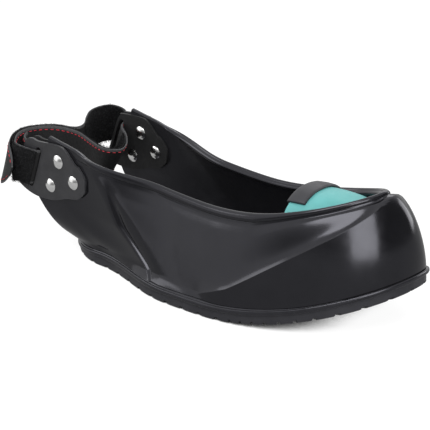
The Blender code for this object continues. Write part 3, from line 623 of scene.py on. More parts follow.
def loft(sections, bm=None, tags=None):
    """Joins closed sections of equal length into a solid; tags give each side's material."""
    bm = bm or bmesh.new()
    rings = [[bm.verts.new(point) for point in section] for section in sections]
    count = len(rings[0])
    for first, second in zip(rings, rings[1:]):
        for k in range(count):
            n = (k + 1) % count
            face = bm.faces.new((first[k], first[n], second[n], second[k]))
            face.material_index = tags[k] if tags else 0
    bm.faces.new(list(reversed(rings[0])))
    bm.faces.new(rings[-1])
    return bm


def curve_through(points, per_span):
    """Points of a smooth curve through the given ones."""
    points = np.array(points, dtype=float)
    padded = np.vstack([2 * points[0] - points[1], points, 2 * points[-1] - points[-2]])
    result = []
    for k in range(1, len(padded) - 2):
        a, b, c, d = padded[k - 1:k + 3]
        for step in range(per_span):
            t = step / per_span
            result.append(0.5 * (2 * b + (c - a) * t + (2 * a - 5 * b + 4 * c - d) * t * t
                                 + (3 * b - a - 3 * c + d) * t ** 3))
    result.append(points[-1])
    return np.array(result)


def closed_curve(points, per_span):
    """Points of a smooth closed curve through the given ones."""
    points = [tuple(point) for point in points]
    ring = points[-2:] + points + points[:2]
    return curve_through(ring, per_span)[2 * per_span:-2 * per_span - 1]


def plate(outline, holes, y_from, y_to):
    """Flat plate from an outline and holes in x and z, between two y planes."""
    bm = bmesh.new()
    edges = []
    for ring in [outline] + holes:
        verts = [bm.verts.new((x, y_from, z)) for x, z in ring]
        edges += [bm.edges.new((verts[k], verts[(k + 1) % len(verts)])) for k in range(len(verts))]
    bmesh.ops.triangle_fill(bm, use_beauty=True, edges=edges)
    extruded = bmesh.ops.extrude_face_region(bm, geom=bm.faces[:])
    moved = [item for item in extruded["geom"] if isinstance(item, bmesh.types.BMVert)]
    bmesh.ops.translate(bm, verts=moved, vec=(0, y_to - y_from, 0))
    return bm


def circle(centre, radius, count):
    steps = [2 * math.pi * k / count for k in range(count)]
    return [(centre[0] + radius * math.cos(a), centre[1] + radius * math.sin(a)) for a in steps]


# Materials
NOISE_RANGE = (0.3, 0.7)


class Nodes:
    """A node tree and short ways to add to it."""

    def __init__(self, tree):
        self.tree = tree

    def join(self, value, socket):
        """Puts a number, a colour or another node's output into a socket."""
        if isinstance(value, bpy.types.NodeSocket):
            self.tree.links.new(value, socket)
        else:
            socket.default_value = value

    def node(self, kind, inputs=(), **settings):
        made = self.tree.nodes.new("ShaderNode" + kind)
        for name, value in settings.items():
            setattr(made, name, value)
        for name, value in dict(inputs).items():
            self.join(value, made.inputs[name])
        return made

    def maths(self, operation, first, second):
        return self.node("Math", {0: first, 1: second}, operation=operation).outputs[0]

    def between(self, value, low, high, start, end, interpolation="LINEAR"):
        """Number from low to high as value goes from start to end."""
        limits = {"Value": value, "From Min": start, "From Max": end, "To Min": low, "To Max": high}
        return self.node("MapRange", limits, interpolation_type=interpolation).outputs["Result"]


class Finish(Nodes):
    """A material with one Principled shader, which noise colours, roughens and bumps."""

    def __init__(self, name, **values):
        self.material = bpy.data.materials.new(name)
        self.material.use_nodes = True
        super().__init__(self.material.node_tree)
        self.shader = self.tree.nodes["Principled BSDF"]
        self.place = self.node("TexCoord").outputs["Object"]
        for key, value in values.items():
            self.shader.inputs[key.replace("_", " ").title().replace("Ior", "IOR")].default_value = value

    def noise(self, scale, detail=3.0, roughness=0.55):
        inputs = {"Vector": self.place, "Scale": scale, "Detail": detail, "Roughness": roughness}
        return self.node("TexNoise", inputs).outputs["Fac"]

    def cells(self, scale):
        return self.node("TexVoronoi", {"Vector": self.place, "Scale": scale}).outputs["Distance"]

    def colour(self, value, *stops):
        """Colours along a value: each stop holds a place, red, green and blue."""
        ramp = self.node("ValToRGB", {"Fac": value})
        elements = ramp.color_ramp.elements
        while len(elements) < len(stops):
            elements.new(0.5)
        for element, stop in zip(elements, stops):
            element.position = stop[0]
            element.color = (*stop[1:], 1.0)
        self.join(ramp.outputs["Color"], self.shader.inputs["Base Color"])

    def rough(self, value, low, high):
        self.join(self.between(value, low, high, *NOISE_RANGE), self.shader.inputs["Roughness"])

    def bump(self, *layers):
        """Stacks bumps: each layer is height, strength and distance."""
        below = {}
        for height, strength, distance in layers:
            inputs = {"Height": height, "Strength": strength, "Distance": distance, **below}
            below = {"Normal": self.node("Bump", inputs).outputs["Normal"]}
        self.join(below["Normal"], self.shader.inputs["Normal"])


def rubber_finish(name, dark, light, rough, grain, strength):
    """Moulded rubber: mottled colour, uneven gloss, a fine skin and slow waves from the mould."""
    made = Finish(name, specular_ior_level=0.5, specular_tint=(0.90, 0.90, 1.0, 1.0))
    made.colour(made.noise(55, 5), (0.30, *dark), (0.72, *light))
    made.rough(made.noise(160, 4), *rough)
    made.bump((made.noise(38, 2), 0.05, 0.002), (made.noise(grain), strength, 0.0002))
    return made.material


def paint_finish():
    made = Finish("cap_paint", specular_ior_level=0.4)
    made.colour(made.noise(70, 5), (0.28, 0.128, 0.450, 0.440), (0.50, 0.143, 0.475, 0.468),
                (0.75, 0.160, 0.500, 0.492))
    made.rough(made.noise(300), 0.42, 0.56)
    made.bump((made.noise(900), 0.10, 0.0002))
    return made.material


def leather_finish(name, mottle, dark, light, rough, grain, strength):
    """Leather: mottled colour, and a grain of small cells over slow waves."""
    made = Finish(name)
    made.colour(made.noise(mottle, 6), (0.3, *dark), (0.7, *light))
    made.rough(made.noise(240), *rough)
    made.bump((made.noise(60), 0.10, 0.002), (made.cells(grain), strength, 0.0003))
    return made.material


def metal_finish():
    made = Finish("rivet_metal", metallic=1.0)
    made.colour(made.noise(400, 4), (0.3, 0.88, 0.88, 0.87), (0.7, 0.95, 0.95, 0.94))
    made.rough(made.noise(900, 4), 0.15, 0.24)
    made.bump((made.noise(1200, 2), 0.04, 0.0002))
    return made.material


def webbing_finish():
    made = Finish("strap_backing")
    made.colour(made.noise(700, 4), (0.3, 0.006, 0.006, 0.0065), (0.7, 0.014, 0.014, 0.015))
    made.rough(made.noise(500), 0.62, 0.82)
    made.bump((made.cells(1700), 0.35, 0.0003), (made.noise(140), 0.20, 0.0006))
    return made.material


def edge_finish():
    made = Finish("strap_edge")
    made.colour(made.noise(1300, 4), (0.3, 0.045, 0.045, 0.048), (0.7, 0.110, 0.110, 0.115))
    made.rough(made.noise(600), 0.75, 0.90)
    made.bump((made.noise(2200), 0.5, 0.0003))
    return made.material


def pile_finish():
    made = Finish("loop_pile", specular_ior_level=0.2)
    made.colour(made.noise(800, 5, 0.7), (0.38, 0.003, 0.003, 0.0035), (0.56, 0.012, 0.012, 0.013),
                (0.74, 0.060, 0.060, 0.063))
    made.rough(made.noise(400), 0.85, 0.98)
    made.bump((made.noise(1500, 4, 0.7), 0.9, 0.0008))
    return made.material


def hook_finish():
    made = Finish("hook_tape")
    made.colour(made.noise(800), (0.3, 0.008, 0.008, 0.009), (0.7, 0.016, 0.016, 0.017))
    made.rough(made.noise(500), 0.5, 0.7)
    made.bump((made.cells(900), 0.8, 0.0006))
    return made.material


def thread_finish():
    made = Finish("red_thread")
    made.colour(made.noise(1500), (0.3, 0.58, 0.022, 0.040), (0.7, 0.74, 0.040, 0.062))
    made.rough(made.noise(900, 2), 0.5, 0.7)
    made.bump((made.noise(3500, 2), 0.4, 0.0002))
    return made.material


FINISH = {
    "upper": rubber_finish("glossy_rubber", (0.0055, 0.0055, 0.0065), (0.0090, 0.0090, 0.0106), (0.13, 0.19),
                           1500, 0.05),
    "inside": rubber_finish("inner_rubber", (0.0060, 0.0060, 0.0070), (0.0100, 0.0100, 0.0114), (0.42, 0.54),
                            1300, 0.12),
    "sole": rubber_finish("matte_rubber", (0.022, 0.022, 0.025), (0.034, 0.034, 0.038), (0.34, 0.46), 1100, 0.22),
    "welt": rubber_finish("welt_rubber", (0.012, 0.012, 0.014), (0.020, 0.020, 0.023), (0.20, 0.28), 1300, 0.08),
    "guard": rubber_finish("guard_rubber", (0.026, 0.026, 0.028), (0.038, 0.038, 0.040), (0.46, 0.58), 1800, 0.30),
    "paint": paint_finish(),
    "leather": leather_finish("anchor_leather", 90, (0.027, 0.027, 0.030), (0.043, 0.043, 0.047), (0.34, 0.46),
                              1100, 0.22),
    # Darker, rougher copy of the anchor leather for the inner flaps: partly a rough flesh side, partly painted shade
    # for flaps that sit in the shoe's shadow
    "shaded_inner_flap": leather_finish("anchor_inner_painted_shade", 140, (0.0055, 0.0055, 0.0060), (0.0110, 0.0110, 0.0118),
                             (0.58, 0.72), 1500, 0.30),
    "metal": metal_finish(),
    "webbing": webbing_finish(),
    "edge": edge_finish(),
    "pile": pile_finish(),
    "hooks": hook_finish(),
    "thread": thread_finish(),
}


# Pieces of the shoe
def make_upper():
    """Moulded upper with its toe ridge, collar bead, recessed panels and wings, finer than its solid."""
    edge = 1 + PANEL_SHARE
    start, end = edge - EDGE_SPAN[0], edge + EDGE_SPAN[1]
    shares = [0.0] + spread(0.0, 1.0, FRONT_STATIONS) + spread(1.0, start, PANEL_STATIONS)
    shares += spread(start, end, EDGE_STATIONS) + spread(end, 2.0, WING_STATIONS)
    half = [station_at(share) for share in shares]
    left = [upper_section(station, 1) for station in reversed(half)]
    right = [upper_section(station, -1) for station in half[1:]]
    outer = len(outer_rows(half[0])) + CROWN_STEPS
    tags = [0] * outer + [1] * (len(left[0]) - outer)
    finishes = [FINISH["upper"], FINISH["inside"]]
    item = add_piece("upper", loft(left + right, tags=tags), finishes, "shoe", ["upper_shell"],
                     smooth_angle=50)
    return bevel(item, UPPER_ROUND, 3, 60)


def tread_stations():
    """Hub point and edge point of each tread station round half the sole, and whether it is in a groove.

    Each groove has four stations, and each lug runs between two grooves.
    """
    side = FAN_X - ROUND_X
    total = TREAD_TOE + side + TREAD_HEEL
    count = round(total / TREAD_PITCH)
    pitch = total / count
    stops = [(0.0, False), (total, False)]
    for k in range(count):
        middle = (k + 0.5) * pitch
        for end in (-1, 1):
            stops += [(middle + end * GROOVE_WIDTH / 2, True),
                      (middle + end * (GROOVE_WIDTH / 2 + GROOVE_DRAFT), False)]
        stops += [(middle + pitch * share, False) for share in LUG_STOPS if k < count - 1]
    result = []
    for distance, groove in sorted(stops):
        past_toe = distance - TREAD_TOE
        if 0 < past_toe <= side:
            hub_x = FAN_X - past_toe
            edge = (hub_x, sole_half(hub_x))
        else:
            hub_x = FAN_X if past_toe <= 0 else ROUND_X
            quarters = distance / TREAD_TOE if past_toe <= 0 else 1 + (past_toe - side) / TREAD_HEEL
            edge = ray_hit(hub_x, min(quarters * math.pi / 2, math.pi - 1e-7), sole_half)
        result.append(((hub_x, 0.0), edge, groove))
    return result


def sole_section(hub, edge, out, groove, side):
    """Open section of half the sole, from under its middle, round the edge, to the middle on top."""
    def along(share, height, proud=0.0):
        x = hub[0] + (edge[0] - hub[0]) * share + out[0] * proud
        y = hub[1] + (edge[1] - hub[1]) * share + out[1] * proud
        place = swing((x, side * y, height))
        place[2] += spring_z(hub[0] + (edge[0] - hub[0]) * share)
        place[2] -= heel_drop(x) * smooth(height / WELT_Z)
        return place
    lug = GROOVE_DEPTH if groove else 0.0
    bevel_rise = HEEL_RISE * smooth((ROUND_X - edge[0]) / HEEL_ROUND)
    bed = FOOTBED_SIDE + (FOOTBED_TOE - FOOTBED_SIDE) * smooth((edge[0] - FAN_X) / FOOTBED_BLEND)
    inner = HUB_SHARE + HUB_GROOVE
    low = WELT_Z - WELT_HEIGHT
    top = WELT_HEIGHT - WELT_GROOVE
    turns = [math.pi * k / WELT_STEPS for k in range(WELT_STEPS + 1)]
    bead = [along(1.0, low + top * (0.5 - 0.5 * math.cos(turn)),
                  WELT_ROOT + (WELT_PROUD - WELT_ROOT) * math.sin(turn) ** WELT_SWEEP) for turn in turns]
    return [along(0.0, 0.0), along(HUB_SHARE, 0.0), along(HUB_SHARE + HUB_DRAFT, GROOVE_DEPTH),
            along(inner - HUB_DRAFT, GROOVE_DEPTH), along(inner, lug), along(0.7, lug + bevel_rise * 0.5),
            along(0.985, lug + bevel_rise * 0.975), along(1.0, lug + bevel_rise + LUG_ROUND),
            along(1.0, low - WELT_UNDERCUT, -WELT_ROOT), *bead,
            along(0.997, WELT_Z - WELT_GROOVE * 0.9), along(0.990, WELT_Z - WELT_GROOVE * 0.3),
            along(0.980, WELT_Z), along(bed, WELT_Z), along(bed - FOOTBED_SLOPE, WELT_Z - FOOTBED_DROP),
            along(0.5, WELT_Z - FOOTBED_DROP), along(0.0, WELT_Z - FOOTBED_DROP)]


def make_sole():
    """Rubber sole with a rounded welt bead, lugs that fan out at toe and heel, and a dished footbed."""
    stations = tread_stations()
    tangents = np.gradient(np.array([edge for _, edge, _ in stations]), axis=0)
    tangents[0] = (0.0, 1.0)
    tangents[-1] = (0.0, -1.0)
    bm = bmesh.new()
    for side in (1, -1):
        rows = []
        for (hub, edge, groove), tangent in zip(stations, tangents):
            out = np.array((tangent[1], -tangent[0])) / np.linalg.norm(tangent)
            rows.append([bm.verts.new(place) for place in sole_section(hub, edge, out, groove, side)])
        for first, second in zip(rows, rows[1:]):
            for k in range(len(first) - 1):
                face = bm.faces.new((first[k], first[k + 1], second[k + 1], second[k]))
                face.material_index = 1 if WELT_ROWS[0] <= k < WELT_ROWS[1] else 0
    return add_piece("sole", bm, [FINISH["sole"], FINISH["welt"]], "shoe", ["outsole"],
                     smooth_angle=35)


def cap_arch(x, turn, inset=0.0):
    """Point of the toe cap's outer face at x, where turn runs from 0 to 1 over the arch."""
    share = (x - CAP_REAR_X) / CAP_LENGTH
    half = CAP_HALF * round_off(share, CAP_PLAN) - inset
    floor = WELT_Z - FOOTBED_DROP + spring_z(x) + CAP_FLOOR_GAP
    height = (CAP_TOP - floor) * round_off(share, CAP_PROFILE) - inset
    angle = math.pi * turn
    y = -math.copysign(abs(math.cos(angle)) ** (2 / CAP_ARCH), math.cos(angle)) * half
    return swing((x, y, floor + height * math.sin(angle) ** (2 / CAP_ARCH)))


def make_cap():
    """Painted metal toe cap: an arched scoop, open at the rear and underneath."""
    end = math.radians(CAP_TURN)
    stops = [CAP_REAR_X + CAP_LENGTH * math.sin(k / CAP_RINGS * end) for k in range(CAP_RINGS + 1)]
    turns = [k / CAP_STEPS for k in range(CAP_STEPS + 1)]
    bm = bmesh.new()
    rings = []
    for x in stops:
        ring = [cap_arch(x, turn) for turn in turns]
        ring += [cap_arch(x, turn, CAP_WALL) for turn in reversed(turns)]
        rings.append([bm.verts.new(point) for point in ring])
    count, half = len(rings[0]), len(turns)
    for first, second in zip(rings, rings[1:]):
        for k in range(count):
            n = (k + 1) % count
            bm.faces.new((first[k], first[n], second[n], second[k]))
    for ring in (rings[0], rings[-1]):
        for k in range(half - 1):
            bm.faces.new((ring[k], ring[k + 1], ring[count - 2 - k], ring[count - 1 - k]))
    return add_piece("cap", bm, [FINISH["paint"]], "shoe", ["toe_cap"])


def make_guard():
    """Rubber edge guard pressed on the cap's rear arch, a channel with soft edges and square ends."""
    middle = CAP_FACETS // 2
    top = GAP + GUARD_WALL
    outer = [(GUARD_REACH, GAP), (GUARD_REACH, GAP + GUARD_WALL * 0.6), (GUARD_REACH - 0.0004, top - 0.0003),
             (GUARD_REACH - 0.0013, top), (GUARD_REACH * 0.5, top + 0.0003), (0.0005, top),
             (-GUARD_WALL * 0.6, top - 0.0007), (-GUARD_WALL, GAP + GUARD_WALL * 0.2)]
    inner = [(-GUARD_WALL - GAP, -GUARD_WALL), (GUARD_LIP, -GAP - GUARD_WALL), (GUARD_LIP, -GAP), (-GAP, -GAP)]
    profile = [(*place, 0.0) for place in outer] + [(*place, CAP_WALL) for place in inner]
    profile.append((-GAP, GAP, 0.0))
    sections = []
    for k in range((middle - GUARD_NEAR) * GUARD_FINE, (middle + GUARD_FAR) * GUARD_FINE + 1):
        turn, step = k / GUARD_FINE / CAP_FACETS, 0.5 / CAP_FACETS
        along = cap_arch(CAP_REAR_X, turn + step) - cap_arch(CAP_REAR_X, turn - step)
        normal = np.array((0.0, -along[2], along[1])) / np.linalg.norm(along)
        section = []
        for reach, height, inset in profile:
            here = cap_arch(CAP_REAR_X + max(0.0, reach), turn, inset)
            section.append(here + normal * height + (min(0.0, reach), 0, 0))
        sections.append(section)
    item = add_piece("cap_edge_guard", loft(sections), [FINISH["guard"]], "shoe",
                     ["toe_cap_guard"], smooth_angle=50)
    return bevel(item, GUARD_ROUND, 2, 60)


def anchor_outline(tail):
    """Three lobes round the rivets and a tail behind the strap slot, in x and z."""
    a, b, c = np.array(RIVET_A), np.array(RIVET_B), np.array(RIVET_C)
    down, rear = SLOT_DOWN, SLOT_REAR
    top = np.array(SLOT_TOP)
    low = top + down * SLOT_LENGTH
    lobe = ANCHOR_LOBE
    points = [c + (lobe * 0.95, lobe * 0.35), c + (lobe * 0.45, lobe * 0.98),
              (a + c) / 2 + (lobe * 0.72, lobe * 0.62), a + (lobe * 0.55, lobe * 0.85),
              a + (-lobe * 0.15, lobe),
              top - down * 0.0045 + rear * 0.003, top - down * 0.0030 + rear * tail * 0.60,
              top + down * 0.004 + rear * tail * 0.92, low - down * 0.004 + rear * tail,
              low + down * 0.0042 + rear * tail * 0.70, low + down * 0.0048 - rear * 0.006,
              b + (lobe * 0.15, -lobe * 0.88), (b + c) / 2 + (lobe * 0.35, -lobe * 0.82),
              c + (lobe * 0.35, -lobe * 0.92), c + (lobe * 0.97, -lobe * 0.30)]
    return closed_curve(points, OUTLINE_STEPS)


def slot_ring():
    """Rounded slot for the strap, in x and z."""
    half = SLOT_WIDTH / 2
    length = SLOT_LENGTH / 2 - half
    ring = []
    for end in (1, -1):
        for k in range(OUTLINE_STEPS + 1):
            turn = math.pi * k / OUTLINE_STEPS
            ring.append(SLOT_CENTRE + SLOT_DOWN * end * (length + half * math.sin(turn))
                        + SLOT_REAR * end * half * math.cos(turn))
    return ring


def tail_ring(tail):
    """Inner block of the folded tail, in x and z, just inside the outline behind the slot."""
    near, far = SLOT_WIDTH / 2 + TAIL_CLEAR, tail - TAIL_INSET
    reach = SLOT_LENGTH / 2 - TAIL_SHORT
    cut = min(TAIL_CORNER, (far - near) / 2)
    corners = ((-reach, near), (-reach, far - cut), (-reach + cut, far), (reach - cut, far),
               (reach, far - cut), (reach, near))
    return [SLOT_CENTRE + SLOT_DOWN * drop + SLOT_REAR * back for drop, back in corners]


def make_anchor(hand, side, tail):
    """Leather anchor folded round the wing's rear: an outer and an inner flap and the block of its tail."""
    outline, holes = anchor_outline(tail), [slot_ring()]
    face, back = side * FLAP_OUT, side * FLAP_IN
    name = f"{hand}_anchor"
    outer = add_piece(f"{name}_outer", plate(outline, holes, face - side * ANCHOR_THICKNESS, face),
                      [FINISH["leather"]], "shoe", [f"{hand}_strap_anchor"])
    inner_tail = tail if side == -1 else INNER_TAIL
    flap = plate(anchor_outline(inner_tail), holes, back + side * ANCHOR_THICKNESS, back)
    # The inner flap takes the darker copy of the leather, which in part paints the shade inside the shoe
    inner = add_piece(f"{name}_inner", flap, [FINISH["shaded_inner_flap"]], "shoe")
    inset = side * ANCHOR_THICKNESS / 2
    fill = plate(tail_ring(inner_tail), [], face - inset, back + inset)
    block = add_piece(f"{name}_tail", fill, [FINISH["leather"]], "shoe")
    bevel(outer, LEATHER_ROUND, 4)
    bevel(inner, LEATHER_ROUND, 4)
    bevel(block, TAIL_ROUND, 2)


def make_rivet(name, place, y_start, outward, node):
    """Smooth domed rivet head on a flap, with a rolled rim."""
    head, rise = RIVET_HEAD / 2, RIVET_RISE
    rim = RIVET_RIM * rise
    ball = (head ** 2 + (rise - rim) ** 2) / (2 * (rise - rim))
    turn = math.asin(head / ball)
    angles = [turn * k / RIVET_STEPS for k in range(RIVET_STEPS + 1)]
    profile = [(max(head * 0.02, ball * math.sin(a)), rise - ball * (1 - math.cos(a))) for a in angles]
    profile += [(head * 0.99, rim * 0.5), (head * 0.95, GAP * 0.2), (head * 0.3, GAP * 0.2)]
    sections = []
    for radius, height in profile:
        sections.append([(x, y_start + outward * height, z) for x, z in circle(place, radius, RIVET_SIDES)])
    return add_piece(name, loft(sections), [FINISH["metal"]], "shoe", [node], smooth_angle=50)


def make_rivets():
    for hand, side in (("right", -1), ("left", 1)):
        for letter, place in (("a", RIVET_A), ("b", RIVET_B), ("c", RIVET_C)):
            make_rivet(f"{hand}_head_{letter}", place, side * FLAP_OUT, side, f"{hand}_rivet_{letter}")
            make_rivet(f"{hand}_cap_{letter}", place, side * FLAP_IN, -side, f"{hand}_rivet_cap_{letter}")


# Heel strap, as ribbons standing on edge along a plan curve
def path_frames(path):
    """Tangent, width direction and outward face direction at each row of a strap path."""
    tangents = np.gradient(path[:, :3], axis=0)
    tangents /= np.linalg.norm(tangents, axis=1)[:, None]
    ups = np.column_stack([path[:, 3:5], np.ones(len(path))])
    ups /= np.linalg.norm(ups, axis=1)[:, None]
    faces = np.cross(ups, tangents)
    faces /= np.linalg.norm(faces, axis=1)[:, None]
    return tangents, ups, faces


def beside(path, distance):
    """Path at a distance from another one, on its outward side."""
    moved = path.copy()
    moved[:, :3] += path_frames(path)[2] * distance
    return moved


def travelled(path):
    """Length along a path at each of its rows."""
    return np.concatenate([[0], np.cumsum(np.linalg.norm(np.diff(path[:, :3], axis=0), axis=1))])


def sample(table, lengths, distance):
    """Rows of a table at one or more lengths along its path."""
    return np.array([np.interp(distance, lengths, column) for column in table.T]).T


def stretch(path, start, end, rows):
    """Rows evenly spread along a path between two lengths."""
    return sample(path, travelled(path), np.linspace(start, end, rows))


def heel_rows():
    """Strap rows: sewn end, round the right anchor's tail, across the heel, out of the left slot."""
    x, z = SLOT_CENTRE
    tilt = math.tan(math.radians(SLOT_TILT))
    outside = FLAP_OUT + STRAP_THICKNESS / 2 + 2 * GAP
    inside = FLAP_IN - STRAP_THICKNESS / 2 - 2 * GAP
    middle = (outside + inside) / 2
    tail = x - ANCHOR_TAIL
    turn = 0.0012
    sewn = [(tail - 0.0170, -0.0270, z, 0, 0), (tail - 0.0120, -0.0350, z, 0.05, 0),
            (tail - 0.0035, 0.0006 - inside, z, 0.15, 0), (x - 0.010, -inside, z, tilt, 0),
            (x - turn, -inside - 0.0004, z, tilt, 0), (x + turn, -middle, z, tilt, 0),
            (x - turn, 0.0004 - outside, z, tilt, 0), (x - 0.010, -outside, z, tilt, 0)]
    bend_rows = [(tail - 0.0025, -outside, z, 0.15, 0), (tail - 0.0100, 0.0055 - outside, z, 0.05, 0),
                 (tail - 0.0170, -0.0370, z + 0.001, 0, 0), (tail - 0.0210, -0.0245, z + 0.001, 0, 0),
                 (tail - 0.0200, -0.0120, z, 0, 0), (tail - 0.0120, -0.0030, z, 0, 0)]
    across = [(x - 0.019, 0.0025, z - 0.001, 0.05, 0.0), (x - 0.004, 0.0030, z - 0.001, 0.10, -0.10),
              (x + 0.010, 0.0000, z - 0.002, 0.20, -0.20), (x + 0.022, -0.0040, z - 0.002, 0.40, -0.25),
              (x + 0.031, -0.0045, z - 0.002, 0.55, -0.20), (x + 0.0365, 0.0005, z - 0.002, 0.65, -0.05),
              (x + 0.035, 0.0080, z - 0.001, 0.60, 0.05), (x + 0.028, 0.0165, z, 0.50, 0.10),
              (x + 0.019, 0.0255, z, 0.45, 0.05), (x + 0.010, 0.0335, z, tilt, 0)]
    left = [(x + turn * 2, inside, z, tilt, 0), (x, middle, z, tilt, 0), (x - turn, outside, z, tilt, 0)]
    return sewn + bend_rows + across + left


def hinge_point():
    """Place just outside the left slot where the strap folds back."""
    x, z = SLOT_CENTRE
    return np.array((x - FOLD_BACK, FLAP_OUT + STRAP_THICKNESS / 2 + 3 * GAP, z))


def fold_path(run):
    """Rows of the folded end, and the lengths at which its lap and its loose tab begin."""
    x, z = SLOT_CENTRE
    step = SPAN // 2
    stack = STRAP_THICKNESS + PILE_THICKNESS + HOOK_THICKNESS + 3 * GAP
    lap = beside(run, stack)[LAP_SPANS[0] * SPAN:LAP_SPANS[1] * SPAN + 1][::-1]
    hinge = hinge_point()
    tail = x - ANCHOR_TAIL
    tilt = math.tan(math.radians(SLOT_TILT))
    loop_rows = [(*(hinge + (-0.0003, 0.0006, 0)), tilt, 0),
                 (x - 0.0095, hinge[1] + 0.0085, z, tilt * 0.6, 0),
                 (tail - 0.0005, hinge[1] + 0.0145, z + 0.001, 0.1, 0),
                 (tail - 0.0090, hinge[1] + 0.0110, z + 0.003, 0, 0),
                 (tail - 0.0115, hinge[1] - 0.0010, z + 0.004, 0, 0),
                 (tail - 0.0090, 0.0380, z + 0.004, 0, 0),
                 (tail - 0.0030, 0.0270, z + 0.002, 0, 0), (tail + 0.0030, 0.0185, z, 0, 0),
                 (tail + 0.0030, 0.0115, z - 0.001, 0, 0)]
    loop_part = curve_through(loop_rows + [tuple(lap[0]), tuple(lap[step])], SPAN)[:-SPAN]
    fold = np.vstack([loop_part, lap[1:]])
    lap_row = len(loop_part) - 1
    return fold, travelled(fold)[lap_row], travelled(fold)[lap_row + TAB_STEPS * step]


def flared(path):
    """Path that droops along its length, and whose lower edge stands further out."""
    share = np.linspace(0, 1, len(path)) ** TAB_SWEEP
    flare = TAB_FLARE * share
    away = -path_frames(path)[2]
    moved = path.copy()
    moved[:, :3] += away * flare[:, None] * STRAP_WIDTH / 2
    moved[:, 2] -= TAB_DROOP * share
    moved[:, 3:5] -= away[:, :2] * flare[:, None]
    return moved


def half_width(path, width, round_end):
    """Half width of a ribbon at each row, rounded off towards its end where asked."""
    half = np.full(len(path), width / 2)
    if round_end:
        left = travelled(path)[-1] - travelled(path)
        corner = width / 2
        for k in np.nonzero(left < corner)[0]:
            half[k] = max(BAND_END * corner, math.sqrt(max(0.0, corner ** 2 - (corner - left[k]) ** 2)))
    return half


def ribbon(path, width, thickness, shift=0.0, round_end=False, rough=0.0, seed=1):
    """Band along a path: soft edges in a second material, and a lumpy outer face where rough is given."""
    _, ups, faces = path_frames(path)
    halves = half_width(path, width, round_end)
    across = np.linspace(1, -1, BAND_COLUMNS)
    chance = random.Random(seed)
    sections = []
    for row, up, face, half in zip(path, ups, faces, halves):
        middle = row[:3] + face * shift
        section = []
        for side in (1, -1):
            for a in across * side:
                lump = rough * chance.random() if side == 1 else 0.0
                deep = thickness / 2 * (1.0 if abs(a) < 1 else BAND_EDGE)
                section.append(middle + up * a * half + face * (side * deep + lump))
        sections.append(section)
    tags = [0] * (2 * BAND_COLUMNS)
    for end in (BAND_COLUMNS, 2 * BAND_COLUMNS):
        for k in (end - 2, end - 1, end):
            tags[k % len(tags)] = 1
    return loft(sections, tags=tags)


def stitch_line(bm, path, up_offset, face_offset, start=0.0):
    """Row of thread dashes along a path, at a width offset and a distance from its middle."""
    _, ups, faces = path_frames(path)
    line = path[:, :3] + ups * up_offset[:, None] + faces * face_offset
    lengths = travelled(line)
    while start + STITCH_LENGTH < lengths[-1]:
        sections = []
        for share in STITCH_STOPS:
            distance = start + STITCH_LENGTH * share
            radius = STITCH_RADIUS * (STITCH_TIP if share in (0.0, 1.0) else 1.0)
            up, face = sample(ups, lengths, distance), sample(faces, lengths, distance)
            face *= math.copysign(1, face_offset)
            centre = sample(line, lengths, distance) - face * STITCH_SINK * (1 - math.sin(math.pi * share))
            sections.append([centre + up * radius * x + face * radius * y
                             for x, y in circle((0, 0), 1, STITCH_SIDES)])
        loft(sections, bm)
        start += STITCH_LENGTH + STITCH_GAP


def fibres(path, width, shift, seed):
    """Loose fibres of the pile: thin bent hairs that stand on the outer face and over its edges."""
    tangents, ups, faces = path_frames(path)
    lengths = travelled(path)
    chance = random.Random(seed)
    bm = bmesh.new()
    for _ in range(int(lengths[-1] * FIBRES_PER_METRE)):
        distance = chance.uniform(0, lengths[-1])
        middle, up, face, along = (sample(table, lengths, distance) for table in (path[:, :3], ups, faces, tangents))
        across = chance.uniform(-1, 1)
        stand = 1.0
        if chance.random() < FIBRE_EDGE_SHARE:
            across = chance.choice((-1, 1)) * chance.uniform(FIBRE_EDGE, 1.0)
            stand = chance.uniform(*FIBRE_STAND)
        root = middle + up * across * width / 2 + face * shift
        lean = face * stand + up * (across ** 5 * FIBRE_SPLAY + chance.uniform(-FIBRE_LEAN[0], FIBRE_LEAN[0]))
        lean += along * chance.uniform(-FIBRE_LEAN[1], FIBRE_LEAN[1])
        lean /= np.linalg.norm(lean)
        curl = up * chance.uniform(-FIBRE_BEND, FIBRE_BEND) + along * chance.uniform(-FIBRE_BEND, FIBRE_BEND)
        reach = FIBRE_LENGTH * chance.uniform(*FIBRE_SIZES)
        sections = []
        for share in (0.0, 0.5, 1.0):
            centre = root + lean * reach * share + curl * reach * FIBRE_CURL * share ** 2
            radius = FIBRE_RADIUS * (1.0 - FIBRE_TAPER * share)
            sections.append([centre + along * radius * x + up * radius * y
                             for x, y in circle((0, 0), 1, FIBRE_SIDES)])
        loft(sections, bm)
    return bm


def add_band(name, path, body, node, round_end=False):
    """Webbing of the strap, with paler cut edges."""
    bm = ribbon(path, STRAP_WIDTH, STRAP_THICKNESS, round_end=round_end)
    return add_piece(name, bm, [FINISH["webbing"], FINISH["edge"]], body, [node])


def add_pile(run, path, body, node, seeds):
    """Layer of loop pile on the webbing's outer face, and its loose fibres."""
    skin = (STRAP_THICKNESS + PILE_THICKNESS) / 2 + GAP
    layer = ribbon(path, PILE_WIDTH, PILE_THICKNESS, skin, rough=PILE_LUMPS, seed=seeds[0])
    add_piece(f"{run}_pile", layer, [FINISH["pile"]] * 2, body, [node])
    hairs = fibres(path, PILE_WIDTH, skin + PILE_THICKNESS / 2, seeds[1])
    add_piece(f"{run}_fibres", hairs, [FINISH["pile"]], body)


def add_hooks(name, path, body, node):
    """Strip of hook tape on the webbing."""
    bm = ribbon(path, HOOK_WIDTH, HOOK_THICKNESS, (STRAP_THICKNESS + HOOK_THICKNESS) / 2 + GAP)
    add_piece(name, bm, [FINISH["hooks"]] * 2, body, [node])


